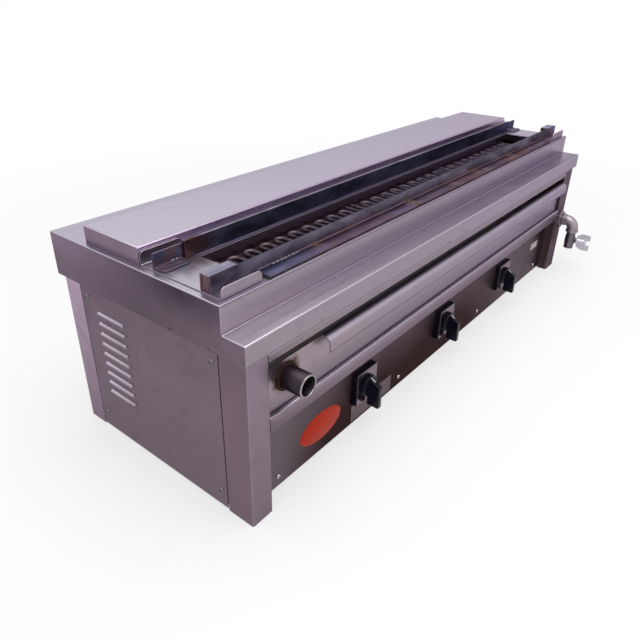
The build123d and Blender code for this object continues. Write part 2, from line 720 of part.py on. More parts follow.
# Rear rest: tall iron bar behind the well, with an angle foot at each end
REAR_REST_Y = FRONT + REAR_REST_FACE
REAR_REST_BACK = REAR_REST_Y + REAR_REST_THICKNESS
with BuildPart() as rear_rest_bar:
    with BuildSketch(Plane.YZ.offset(MIDDLE - REAR_REST_HALF_LENGTH)):
        area(REAR_REST_Y, REAR_REST_BACK, REST_Z, REST_Z + REAR_REST_HEIGHT)
    extrude(amount=2 * REAR_REST_HALF_LENGTH)
save(rear_rest_bar, "rear_rest_bar")

with BuildPart() as rear_rest_feet:
    for way in (-1, 1):
        outer = MIDDLE + way * FOOT_OUTER
        beside_bar = MIDDLE + way * (REAR_REST_HALF_LENGTH + FOOT_GAP)
        behind_bar = MIDDLE + way * (REAR_REST_HALF_LENGTH - FOOT_LAP)
        with BuildSketch(Plane.XY.offset(REST_Z)):
            area(outer, behind_bar, REAR_REST_BACK, REAR_REST_BACK + IRON)
        extrude(amount=FOOT_HEIGHT)
        with BuildSketch(Plane.XY.offset(REST_Z)):
            area(outer, beside_bar, REAR_REST_BACK - FOOT_SHELF, REAR_REST_BACK)
        extrude(amount=IRON)
    toes = rear_rest_feet.edges().filter_by(Axis.Z).filter_by(
        lambda e: abs(e.center().Y - REAR_REST_BACK + FOOT_SHELF) < 0.1
    )
    fillet(toes, FOOT_CORNER)
save(rear_rest_feet, "rear_rest_feet")

# Rear cover: folded lid that lies on the deck round the rim of the hatch
with BuildPart() as rear_cover:
    with BuildSketch(Plane.XY.offset(DECK_TOP)):
        area(*across(COVER_HALF_LENGTH), FRONT + COVER_FRONT, FRONT + COVER_FRONT + COVER_DEPTH)
    extrude(amount=COVER_HEIGHT)
    fillet(rear_cover.faces().sort_by(Axis.Z)[-1].edges(), BEND)
    cover_mouth = rear_cover.faces().sort_by(Axis.Z)[0]
    offset(amount=-COVER_SHEET, openings=cover_mouth)
save(rear_cover, "rear_cover")

# Water tray: pan, front plate with a folded pull lip, and the drain pipe
TRAY_FACE = FRONT + TRAY_SETBACK
PAN_FRONT = TRAY_FACE + SHEET
DRAIN_X = LEFT + DRAIN_FROM_LEFT
with BuildPart() as tray_pan:
    with BuildSketch(Plane.XY.offset(TRAY_FLOOR)):
        area(TRAY_LEFT, TRAY_RIGHT, PAN_FRONT, PAN_FRONT + TRAY_DEPTH)
    extrude(amount=TRAY_WALL)
    pan_mouth = tray_pan.faces().sort_by(Axis.Z)[-1]
    offset(amount=-TRAY_SHEET, openings=pan_mouth)
    drain_wall = PAN_FRONT + 2 * TRAY_SHEET
    round_y(DRAIN_X, DRAIN_HEIGHT, DRAIN_BORE, PAN_FRONT, drain_wall, Mode.SUBTRACT)
save(tray_pan, "tray_pan")

LIP_LEFT = LEFT + LEG_NARROW + LIP_START
with BuildPart() as tray_front:
    with BuildSketch(at_y(PAN_FRONT)):
        area(TRAY_LEFT, TRAY_RIGHT, TRAY_FLOOR, TRAY_TOP - BEND)
    extrude(amount=SHEET)
    folded(
        Plane.YZ.offset(LIP_LEFT),
        [
            (TRAY_FACE, TRAY_FLOOR),
            (TRAY_FACE, TRAY_TOP),
            (TRAY_FACE - LIP_REACH, TRAY_TOP - LIP_DROP),
            (TRAY_FACE - LIP_REACH, TRAY_TOP - LIP_DROP - LIP_HEIGHT),
        ],
        TRAY_RIGHT - LIP_LEFT,
        Side.RIGHT,
    )
    round_y(DRAIN_X, DRAIN_HEIGHT, DRAIN_BORE, TRAY_FACE, PAN_FRONT, Mode.SUBTRACT)
save(tray_front, "tray_front")

with BuildPart() as drain_pipe:
    with BuildSketch(at_y(TRAY_FACE)):
        with Locations((DRAIN_X, DRAIN_HEIGHT)):
            Circle(DRAIN_RADIUS)
            Circle(DRAIN_BORE, mode=Mode.SUBTRACT)
    extrude(amount=DRAIN_LENGTH)
save(drain_pipe, "drain_pipe")

# Rotary switches
BEZEL_FACE = PANEL_FACE - BEZEL_DEPTH
PLATE_FACE = BEZEL_FACE - PLATE_DEPTH
KNOB_BACK = PLATE_FACE - KNOB_GAP
KNOB_FACE = KNOB_BACK - KNOB_DEPTH
SHAFT_NOSE = KNOB_BACK - SHAFT_IN_KNOB
BODY_FACE = PANEL_FACE + SHEET
SHAFT_HOLE = SHAFT_RADIUS + RUNNING_FIT
for side, switch_x in zip(SIDES, SWITCH_XS):
    with BuildPart() as switch_body:
        with BuildSketch(at_y(BODY_FACE)):
            with Locations((switch_x, SWITCH_HEIGHT)):
                RectangleRounded(SWITCH_BODY_SIZE, SWITCH_BODY_SIZE, BEZEL_CORNER)
        extrude(amount=-SWITCH_BODY_DEPTH)
        shaft_end = BODY_FACE + SHAFT_INSIDE + SLIDE_GAP
        round_y(switch_x, SWITCH_HEIGHT, SHAFT_HOLE, BODY_FACE, shaft_end, Mode.SUBTRACT)
    save(switch_body, f"switch_body_{side}")

    with BuildPart() as switch_bezel:
        with BuildSketch(at_y(PANEL_FACE)):
            with Locations((switch_x, SWITCH_HEIGHT)):
                RectangleRounded(BEZEL_WIDTH, BEZEL_HEIGHT, BEZEL_CORNER)
                Circle(SHAFT_HOLE, mode=Mode.SUBTRACT)
        extrude(amount=BEZEL_DEPTH)
    save(switch_bezel, f"switch_bezel_{side}")

    with BuildPart() as switch_plate:
        with BuildSketch(at_y(BEZEL_FACE)):
            with Locations((switch_x, SWITCH_HEIGHT)):
                RectangleRounded(
                    BEZEL_WIDTH - 2 * PLATE_INSET, BEZEL_HEIGHT - 2 * PLATE_INSET, BEZEL_CORNER
                )
                Circle(SHAFT_HOLE, mode=Mode.SUBTRACT)
        extrude(amount=PLATE_DEPTH)
    save(switch_plate, f"switch_plate_{side}")

    with BuildPart() as switch_shaft:
        round_y(switch_x, SWITCH_HEIGHT, SHAFT_RADIUS, SHAFT_NOSE, BODY_FACE + SHAFT_INSIDE)
    save(switch_shaft, f"switch_shaft_{side}")

    with BuildPart() as switch_knob:
        with BuildSketch(at_y(KNOB_BACK)):
            with Locations((switch_x, SWITCH_HEIGHT)):
                Circle(KNOB_RADIUS)
        extrude(amount=KNOB_SKIRT, taper=KNOB_TAPER)
        with BuildSketch(Plane.YZ.offset(switch_x)):
            with BuildLine():
                Polyline(
                    (KNOB_BACK, SWITCH_HEIGHT + KNOB_RISE),
                    (KNOB_BACK - KNOB_SKIRT, SWITCH_HEIGHT + KNOB_RISE),
                    (KNOB_FACE, SWITCH_HEIGHT + KNOB_BROW),
                    (KNOB_FACE, SWITCH_HEIGHT - KNOB_DROP),
                    (KNOB_BACK - KNOB_HEEL, SWITCH_HEIGHT - KNOB_DROP),
                    (KNOB_BACK - KNOB_HEEL, SWITCH_HEIGHT - KNOB_RISE),
                    (KNOB_BACK, SWITCH_HEIGHT - KNOB_RISE),
                    close=True,
                )
            make_face()
        extrude(amount=KNOB_WIDTH / 2, both=True)
        grip_ends = switch_knob.edges().filter_by(Axis.X).filter_by(
            lambda e: e.center().Y < KNOB_BACK - KNOB_SKIRT
        )
        fillet(grip_ends, KNOB_EDGE)
        round_y(switch_x, SWITCH_HEIGHT, SHAFT_HOLE, KNOB_BACK, SHAFT_NOSE, Mode.SUBTRACT)
    save(switch_knob, f"switch_knob_{side}")

# Water inlet: nipple through the right front leg, clamped by a locknut on each side
ELBOW_FACE = VALVE_Y + ELBOW_LEG
NIPPLE_NOSE = ELBOW_FACE - SOCKET_DEPTH + SLIDE_GAP
NIPPLE_TAIL = FRONT + NIPPLE_INSIDE
with BuildPart() as inlet_nipple:
    with BuildSketch(at_y(NIPPLE_TAIL)):
        with Locations((INLET_X, INLET_HEIGHT)):
            Circle(NIPPLE_RADIUS)
            Circle(NIPPLE_BORE, mode=Mode.SUBTRACT)
    extrude(amount=NIPPLE_TAIL - NIPPLE_NOSE)
save(inlet_nipple, "inlet_nipple")

with BuildPart() as inlet_locknuts:
    for near_y, flats in ((FRONT, LOCKNUT_FLATS), (FRONT + SHEET + LOCKNUT_HEIGHT, BACKNUT_FLATS)):
        with BuildSketch(at_y(near_y)):
            with Locations((INLET_X, INLET_HEIGHT)):
                RegularPolygon(flats / 2, 6, major_radius=False, rotation=30)
                Circle(NIPPLE_RADIUS + RUNNING_FIT, mode=Mode.SUBTRACT)
        extrude(amount=LOCKNUT_HEIGHT)
save(inlet_locknuts, "inlet_locknuts")

# Elbow: bored bend with a collar and a socket at each mouth
with BuildPart() as inlet_elbow:
    with BuildLine(Plane.YZ.offset(INLET_X)) as elbow_route:
        FilletPolyline(
            (ELBOW_FACE, INLET_HEIGHT), (VALVE_Y, INLET_HEIGHT), (VALVE_Y, VALVE_TOP), radius=ELBOW_BEND
        )
    elbow_mouth = Plane(origin=(INLET_X, ELBOW_FACE, INLET_HEIGHT), z_dir=(0, -1, 0))
    with BuildSketch(elbow_mouth):
        Circle(ELBOW_RADIUS)
    sweep(path=elbow_route.wires()[0])
    round_y(INLET_X, INLET_HEIGHT, ELBOW_COLLAR, ELBOW_FACE, ELBOW_FACE - ELBOW_COLLAR_LENGTH)
    with BuildSketch(Plane.XY.offset(VALVE_TOP)):
        with Locations((INLET_X, VALVE_Y)):
            Circle(ELBOW_COLLAR)
    extrude(amount=ELBOW_COLLAR_LENGTH)
    with BuildSketch(elbow_mouth):
        Circle(NIPPLE_BORE)
    sweep(path=elbow_route.wires()[0], mode=Mode.SUBTRACT)
    socket = NIPPLE_RADIUS + RUNNING_FIT
    round_y(INLET_X, INLET_HEIGHT, socket, ELBOW_FACE, ELBOW_FACE - SOCKET_DEPTH, Mode.SUBTRACT)
save(inlet_elbow, "inlet_elbow")

# Ball valve: turned body with a hexagon at the hose end and a boss for the stem
BOSS_FACE = VALVE_Y - STEM_BOSS_REACH
VALVE_FOOT = VALVE_TOP - VALVE_LENGTH
BARREL_TOP = BALL_Z + VALVE_BARREL_LENGTH / 2
BARREL_FOOT = BALL_Z - VALVE_BARREL_LENGTH / 2
with BuildPart() as valve_body:
    with BuildSketch(Plane.XZ.offset(-VALVE_Y)):
        with BuildLine():
            Polyline(
                (INLET_X, VALVE_FOOT),
                (INLET_X + VALVE_NECK, VALVE_FOOT),
                (INLET_X + VALVE_NECK, BARREL_FOOT),
                (INLET_X + VALVE_BARREL, BARREL_FOOT + BARREL_CHAMFER),
                (INLET_X + VALVE_BARREL, BARREL_TOP - BARREL_CHAMFER),
                (INLET_X + VALVE_NECK, BARREL_TOP),
                (INLET_X + VALVE_NECK, VALVE_TOP),
                (INLET_X, VALVE_TOP),
                close=True,
            )
        make_face()
    revolve(axis=Axis((INLET_X, VALVE_Y, 0), (0, 0, 1)))
    with BuildSketch(Plane.XY.offset(VALVE_FOOT)):
        with Locations((INLET_X, VALVE_Y)):
            RegularPolygon(VALVE_HEX / 2, 6, major_radius=False)
    extrude(amount=VALVE_HEX_LENGTH)
    round_y(INLET_X, BALL_Z, STEM_BOSS, VALVE_Y, BOSS_FACE)
    with Locations((INLET_X, VALVE_Y, BALL_Z)):
        Sphere(BALL_RADIUS + RUNNING_FIT, mode=Mode.SUBTRACT)
    with BuildSketch(Plane.XY.offset(VALVE_FOOT)):
        with Locations((INLET_X, VALVE_Y)):
            Circle(BALL_BORE)
    extrude(amount=VALVE_LENGTH, mode=Mode.SUBTRACT)
    with BuildSketch(Plane.XY.offset(VALVE_FOOT)):
        with Locations((INLET_X, VALVE_Y)):
            Circle(THREAD_RADIUS)
    extrude(amount=THREAD_LENGTH, mode=Mode.SUBTRACT)
    stem_hole = STEM_RADIUS + RUNNING_FIT
    round_y(INLET_X, BALL_Z, stem_hole, VALVE_Y, BOSS_FACE, Mode.SUBTRACT)
save(valve_body, "valve_body")

# Ball with its stem, bored along the flow while the valve is open
HUB_BACK = BOSS_FACE - HANDLE_GAP
HUB_FACE = HUB_BACK - HANDLE_HUB_LENGTH
STEM_NOSE = HUB_FACE - HANDLE_NUT_HEIGHT
WING_TIP = VALVE_Y - HANDLE_REACH
with BuildPart() as valve_ball:
    with Locations((INLET_X, VALVE_Y, BALL_Z)):
        Sphere(BALL_RADIUS)
    round_y(INLET_X, BALL_Z, STEM_RADIUS, VALVE_Y, STEM_NOSE)
    with BuildSketch(Plane.XY.offset(BALL_Z - BALL_RADIUS)):
        with Locations((INLET_X, VALVE_Y)):
            Circle(BALL_BORE)
    extrude(amount=2 * BALL_RADIUS, mode=Mode.SUBTRACT)
save(valve_ball, "valve_ball")

# Butterfly handle: two wings in one plane with the stem, leaning outwards
with BuildPart() as valve_handle:
    round_y(INLET_X, BALL_Z, HANDLE_HUB, HUB_BACK, HUB_FACE)
    for way in (-1, 1):
        with BuildSketch(Plane.YZ.offset(INLET_X - WING_THICKNESS / 2)):
            with BuildLine():
                Polyline(
                    (HUB_BACK, BALL_Z),
                    (HUB_BACK, BALL_Z + way * WING_SHOULDER),
                    (HUB_BACK - WING_ROOT, BALL_Z + way * WING_SPREAD),
                    (WING_TIP, BALL_Z + way * WING_SPREAD),
                    (WING_TIP, BALL_Z + way * (WING_SPREAD - WING_WIDTH)),
                    (HUB_FACE, BALL_Z + way * (WING_SPREAD - WING_WIDTH)),
                    (HUB_FACE, BALL_Z),
                    close=True,
                )
            make_face()
        extrude(amount=WING_THICKNESS)
    wing_corners = valve_handle.edges().filter_by(Axis.X).filter_by(
        lambda e: e.center().Y < HUB_FACE - HANDLE_NUT_HEIGHT
    )
    fillet(wing_corners, WING_THICKNESS)
    round_y(INLET_X, BALL_Z, STEM_RADIUS + RUNNING_FIT, HUB_BACK, HUB_FACE, Mode.SUBTRACT)
save(valve_handle, "valve_handle")

with BuildPart() as valve_handle_nut:
    with BuildSketch(at_y(HUB_FACE)):
        with Locations((INLET_X, BALL_Z)):
            RegularPolygon(HANDLE_NUT_FLATS / 2, 6, major_radius=False)
            Circle(STEM_RADIUS + RUNNING_FIT, mode=Mode.SUBTRACT)
    extrude(amount=HANDLE_NUT_HEIGHT)
save(valve_handle_nut, "valve_handle_nut")

# Fill tube from the nipple up and over the side of the tray
FILL_Y = FRONT + FILL_SETBACK
FILL_Z = TRAY_FLOOR + TRAY_WALL + FILL_ABOVE_TRAY
FILL_X = TRAY_RIGHT - FILL_OVER_TRAY
with BuildPart() as fill_tube:
    with BuildLine() as fill_route:
        FilletPolyline(
            (INLET_X, NIPPLE_TAIL, INLET_HEIGHT),
            (INLET_X, FILL_Y, INLET_HEIGHT),
            (INLET_X, FILL_Y, FILL_Z),
            (FILL_X, FILL_Y, FILL_Z),
            (FILL_X, FILL_Y, FILL_Z - FILL_SPOUT),
            radius=min(FILL_BEND, FILL_SPOUT - FILL_TUBE_WALL),
        )
    tube_mouth = Plane(origin=(INLET_X, NIPPLE_TAIL, INLET_HEIGHT), z_dir=(0, 1, 0))
    with BuildSketch(tube_mouth):
        Circle(FILL_TUBE_RADIUS)
    sweep(path=fill_route.wires()[0])
    with BuildSketch(tube_mouth):
        RegularPolygon(NIPPLE_RADIUS, 6)
    extrude(amount=FILL_NUT_LENGTH)
    with BuildSketch(tube_mouth):
        Circle(FILL_TUBE_RADIUS - FILL_TUBE_WALL)
    sweep(path=fill_route.wires()[0], mode=Mode.SUBTRACT)
save(fill_tube, "fill_tube")

# Cable grommet in the rear panel
with BuildPart() as cable_grommet:
    with BuildSketch(Plane.XY.offset(GROMMET_HEIGHT)):
        with BuildLine():
            Polyline(
                (GROMMET_X + GROMMET_BORE, REAR + GROMMET_LIP),
                (GROMMET_X + GROMMET_FLANGE, REAR + GROMMET_LIP),
                (GROMMET_X + GROMMET_FLANGE, REAR),
                (GROMMET_X + GROMMET_NECK, REAR),
                (GROMMET_X + GROMMET_NECK, REAR - SHEET),
                (GROMMET_X + GROMMET_FLANGE, REAR - SHEET),
                (GROMMET_X + GROMMET_FLANGE, REAR - SHEET - GROMMET_LIP),
                (GROMMET_X + GROMMET_BORE, REAR - SHEET - GROMMET_LIP),
                close=True,
            )
        make_face()
    revolve(axis=Axis((GROMMET_X, 0, GROMMET_HEIGHT), (0, 1, 0)))
save(cable_grommet, "cable_grommet")

# Terminal block on the bottom plate, with barriers between its ways
BLOCK_FLOOR = PANEL_FOOT + SHEET
BLOCK_Y = REAR - TERMINAL_SETBACK
BARRIER_PITCH = (TERMINAL_BLOCK_LENGTH - TERMINAL_RIB) / TERMINAL_WAYS
with BuildPart() as terminal_block:
    with BuildSketch(Plane.XY.offset(BLOCK_FLOOR)):
        with Locations((GROMMET_X, BLOCK_Y)):
            Rectangle(TERMINAL_BLOCK_LENGTH, TERMINAL_BLOCK_DEPTH)
    extrude(amount=TERMINAL_BLOCK_HEIGHT)
    with BuildSketch(Plane.XY.offset(BLOCK_FLOOR + TERMINAL_BLOCK_HEIGHT)):
        with Locations((GROMMET_X, BLOCK_Y)):
            with GridLocations(BARRIER_PITCH, 0, TERMINAL_WAYS + 1, 1):
                Rectangle(TERMINAL_RIB, TERMINAL_BLOCK_DEPTH)
    extrude(amount=TERMINAL_RIB_HEIGHT)
save(terminal_block, "terminal_block")


# Screws: domed heads on the panels, with shanks through the sheet behind
def screw(face, out):
    """One screw, its head standing out from a face."""
    base = Plane(origin=face, z_dir=out)
    with BuildSketch(base) as head:
        Circle(SCREW_HEAD_RADIUS)
    extrude(head.sketch, amount=SCREW_HEAD_HEIGHT, taper=SCREW_HEAD_DRAFT)
    with BuildSketch(base) as shank:
        Circle(SCREW_RADIUS)
    extrude(shank.sketch, amount=-3 * SHEET)


with BuildPart() as side_panel_screws:
    for z in (SCREW_LOW, SCREW_HIGH):
        for y in (LEFT_PANEL_Y[0] + SCREW_INSET, LEFT_PANEL_Y[1] - SCREW_INSET):
            screw((LEFT, y, z), (-1, 0, 0))
        for y in (RIGHT_PANEL_Y[0] + SCREW_INSET, RIGHT_PANEL_Y[1] - SCREW_INSET):
            screw((RIGHT, y, z), (1, 0, 0))
save(side_panel_screws, "side_panel_screws")

with BuildPart() as switch_panel_screws:
    for x in PANEL_SCREW_XS:
        screw((x, PANEL_FACE, PANEL_SCREW_Z), (0, -1, 0))
save(switch_panel_screws, "switch_panel_screws")

with BuildPart() as rear_panel_screws:
    for x in REAR_SCREW_XS:
        for z in (SCREW_LOW, SCREW_HIGH):
            screw((x, REAR, z), (0, 1, 0))
save(rear_panel_screws, "rear_panel_screws")
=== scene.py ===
"""Dresses a counter-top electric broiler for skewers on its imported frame.

Sizes in the classes are millimetres, and the scene is in metres: +X to the right, +Y to the
back, +Z up. Every piece is modelled where it stands, so its object sits at the origin.
"""

import json
import logging
import math
from collections.abc import Callable, Iterable, Sequence
from dataclasses import dataclass, field, replace
from enum import Enum
from functools import reduce

import bmesh
import bpy
from bmesh.types import BMEdge, BMesh, BMFace, BMVert
from bpy.types import ID, Material, Mesh, Node, NodeOutputs, NodeSocket, NodeTree, Object, World
from mathutils import Matrix, Vector

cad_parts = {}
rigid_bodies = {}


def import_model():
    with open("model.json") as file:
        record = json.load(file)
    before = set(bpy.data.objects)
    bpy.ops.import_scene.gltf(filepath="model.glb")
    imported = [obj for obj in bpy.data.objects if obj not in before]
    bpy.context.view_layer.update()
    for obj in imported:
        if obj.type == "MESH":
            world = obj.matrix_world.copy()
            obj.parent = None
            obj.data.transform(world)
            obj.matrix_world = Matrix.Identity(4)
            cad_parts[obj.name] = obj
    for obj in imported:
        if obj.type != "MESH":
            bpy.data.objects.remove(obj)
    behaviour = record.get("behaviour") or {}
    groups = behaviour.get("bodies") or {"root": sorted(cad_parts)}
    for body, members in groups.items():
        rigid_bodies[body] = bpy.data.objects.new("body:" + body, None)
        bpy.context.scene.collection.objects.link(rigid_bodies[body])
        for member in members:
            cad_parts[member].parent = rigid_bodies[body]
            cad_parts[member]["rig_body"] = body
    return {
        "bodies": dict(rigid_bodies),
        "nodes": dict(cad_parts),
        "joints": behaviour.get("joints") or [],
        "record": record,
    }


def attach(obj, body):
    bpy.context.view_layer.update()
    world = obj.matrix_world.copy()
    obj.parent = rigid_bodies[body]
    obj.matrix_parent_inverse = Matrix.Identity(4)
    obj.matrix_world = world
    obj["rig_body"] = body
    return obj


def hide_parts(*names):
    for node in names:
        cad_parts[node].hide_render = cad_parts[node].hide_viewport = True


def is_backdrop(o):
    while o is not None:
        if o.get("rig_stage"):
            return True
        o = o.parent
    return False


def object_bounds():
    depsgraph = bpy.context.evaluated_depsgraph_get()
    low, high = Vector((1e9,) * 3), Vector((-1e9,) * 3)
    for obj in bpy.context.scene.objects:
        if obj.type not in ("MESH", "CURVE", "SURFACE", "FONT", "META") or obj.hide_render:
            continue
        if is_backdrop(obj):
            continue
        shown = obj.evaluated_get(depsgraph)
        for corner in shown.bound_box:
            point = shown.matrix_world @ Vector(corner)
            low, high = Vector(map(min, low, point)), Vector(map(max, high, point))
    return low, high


log = logging.getLogger("broiler")

MM = 0.001
SMOOTH_BELOW = math.radians(46.0)
FLAT_WITHIN = math.radians(0.3)
SAME_POINT = 1e-6
WHITE = (1.0, 1.0, 1.0)

Colour = tuple[float, float, float]
Spot = tuple[float, float, float]
Pair = tuple[float, float]


class Way(Enum):
    """Direction that a grain runs in or an axis points along."""

    X = (1.0, 0.0, 0.0)
    Y = (0.0, 1.0, 0.0)
    Z = (0.0, 0.0, 1.0)


def mm(x: float, y: float, z: float) -> Vector:
    """Point or distance in metres from millimetres."""
    return Vector((x, y, z)) * MM


def times(colour: Colour, factor: float) -> Colour:
    """Lighter or darker copy of a colour."""
    return tuple(min(1.0, c * factor) for c in colour)


def put(name: str, data: ID) -> Object:
    """New object in the scene.

    Args:
        name: Name of the object.
        data: Mesh, light or camera that it shows.

    Returns:
        The object.
    """
    thing = bpy.data.objects.new(name, data)
    bpy.context.scene.collection.objects.link(thing)
    return thing


def mesh_of(name: str, bm: BMesh) -> Mesh:
    """Mesh made of a bmesh, which is used up.

    Args:
        name: Name of the mesh.
        bm: Bmesh, freed here.

    Returns:
        The mesh.
    """
    mesh = bpy.data.meshes.new(name)
    bm.to_mesh(mesh)
    bm.free()
    return mesh


def empty_tree(block: Material | World) -> NodeTree:
    """Shader tree of a new material or world, without nodes.

    Args:
        block: Material or world.

    Returns:
        Its tree.
    """
    block.use_nodes = True
    block.node_tree.nodes.clear()
    return block.node_tree


class Wiring:
    """Adds nodes to one shader tree and joins them."""

    def __init__(self, tree: NodeTree) -> None:
        """Keep the tree of a material, a world or a group at hand."""
        self.tree = tree

    def add(self, kind: str, settings: dict | None = None, **sockets: object) -> Node:
        """Add a node, set its options and feed its sockets.

        Args:
            kind: Blender's name of the node type.
            settings: Options of the node, set before its sockets.
            **sockets: Socket name, with _ for a space, to a value or to another node's output.

        Returns:
            The new node.
        """
        node = self.tree.nodes.new(kind)
        for key, value in (settings or {}).items():
            setattr(node, key, value)
        self.fill(node, sockets)
        return node

    def fill(self, node: Node, sockets: dict[str, object]) -> None:
        """Feed a node's sockets, named with _ for a space."""
        for key, value in sockets.items():
            self.feed(node.inputs[key.replace("_", " ")], value)

    def feed(self, socket: NodeSocket, value: object) -> None:
        """Link an output into a socket, or set a plain value or a colour on it.

        Args:
            socket: Socket to fill.
            value: Output, number, vector or colour.
        """
        if isinstance(value, NodeSocket):
            self.tree.links.new(value, socket)
        else:
            socket.default_value = (*value, 1.0) if socket.type == "RGBA" else value

    def sum(self, operation: str, first: object, second: object = 0.0) -> NodeSocket:
        """One step of arithmetic on two values.

        Args:
            operation: Blender's name of the step.
            first: First value.
            second: Second value.

        Returns:
            The result.
        """
        node = self.add("ShaderNodeMath", {"operation": operation})
        self.feed(node.inputs[0], first)
        self.feed(node.inputs[1], second)
        return node.outputs[0]

    def product(self, *factors: object) -> NodeSocket:
        """Product of two or more values."""
        return reduce(lambda first, second: self.sum("MULTIPLY", first, second), factors)

    def span(
        self, value: object, low: float, high: float, to_low: float = 0.0, to_high: float = 1.0
    ) -> NodeSocket:
        """Take one range of a value to another and hold it inside.

        Args:
            value: Value to change.
            low: Lower end of its range.
            high: Upper end of its range.
            to_low: What the lower end becomes.
            to_high: What the upper end becomes.

        Returns:
            The changed value.
        """
        ends = {"From_Min": low, "From_Max": high, "To_Min": to_low, "To_Max": to_high}
        return self.add("ShaderNodeMapRange", {"clamp": True}, Value=value, **ends).outputs["Result"]

    def turned_round(self, share: object) -> NodeSocket:
        """Share from 1 to 0 instead of 0 to 1."""
        return self.span(share, 0.0, 1.0, 1.0, 0.0)

    def mix(self, amount: object, first: object, second: object, blend: str = "MIX") -> NodeSocket:
        """Mix two colours.

        Args:
            amount: Share of the second colour.
            first: Colour, or output that gives one.
            second: Colour, or output that gives one.
            blend: Blender's name of the way to mix.

        Returns:
            The mixed colour.
        """
        node = self.add("ShaderNodeMix", {"data_type": "RGBA", "blend_type": blend})
        for index, value in ((0, amount), (6, first), (7, second)):
            self.feed(node.inputs[index], value)
        return node.outputs[2]

    def shades(self, amount: object, tone: Colour, dark: float, light: float) -> NodeSocket:
        """Mix a darker and a lighter copy of one colour."""
        return self.mix(amount, times(tone, dark), times(tone, light))

    def choose(self, amount: object, first: object, second: object) -> NodeSocket:
        """Mix two vectors.

        Args:
            amount: Share of the second.
            first: Vector.
            second: Vector.

        Returns:
            The mixed vector.
        """
        node = self.add("ShaderNodeMix", {"data_type": "VECTOR"})
        for index, value in ((0, amount), (4, first), (5, second)):
            self.feed(node.inputs[index], value)
        return node.outputs[1]

    def stretch(self, coords: object, scale: Spot, move: Spot = (0.0, 0.0, 0.0)) -> NodeSocket:
        """Scale and shift a pattern's coordinates."""
        return self.add("ShaderNodeMapping", Vector=coords, Scale=scale, Location=move).outputs[0]

    def noise(self, coords: object, scale: object, detail: float = 2.0, warp: float = 0.0) -> NodeSocket:
        """Soft noise between 0 and 1."""
        settings = {"Scale": scale, "Detail": detail, "Distortion": warp}
        return self.add("ShaderNodeTexNoise", Vector=coords, **settings).outputs[0]

    def parts(self, vector: object) -> tuple[NodeSocket, ...]:
        """X, Y and Z of a vector."""
        return tuple(self.add("ShaderNodeSeparateXYZ", Vector=vector).outputs)

    def length(self, first: object, second: object) -> NodeSocket:
        """Distance from a middle line, from two distances at right angles."""
        squares = self.sum("ADD", self.product(first, first), self.product(second, second))
        return self.sum("SQRT", squares)


class Effect(Enum):
    """Surface effects that several finishes share."""

    GRAIN = "rolled_grain"
    SMUDGE = "wiped_smudges"
    SPECKS = "scattered_specks"
    RUST = "rust_bloom"


Made = dict[str, NodeSocket]


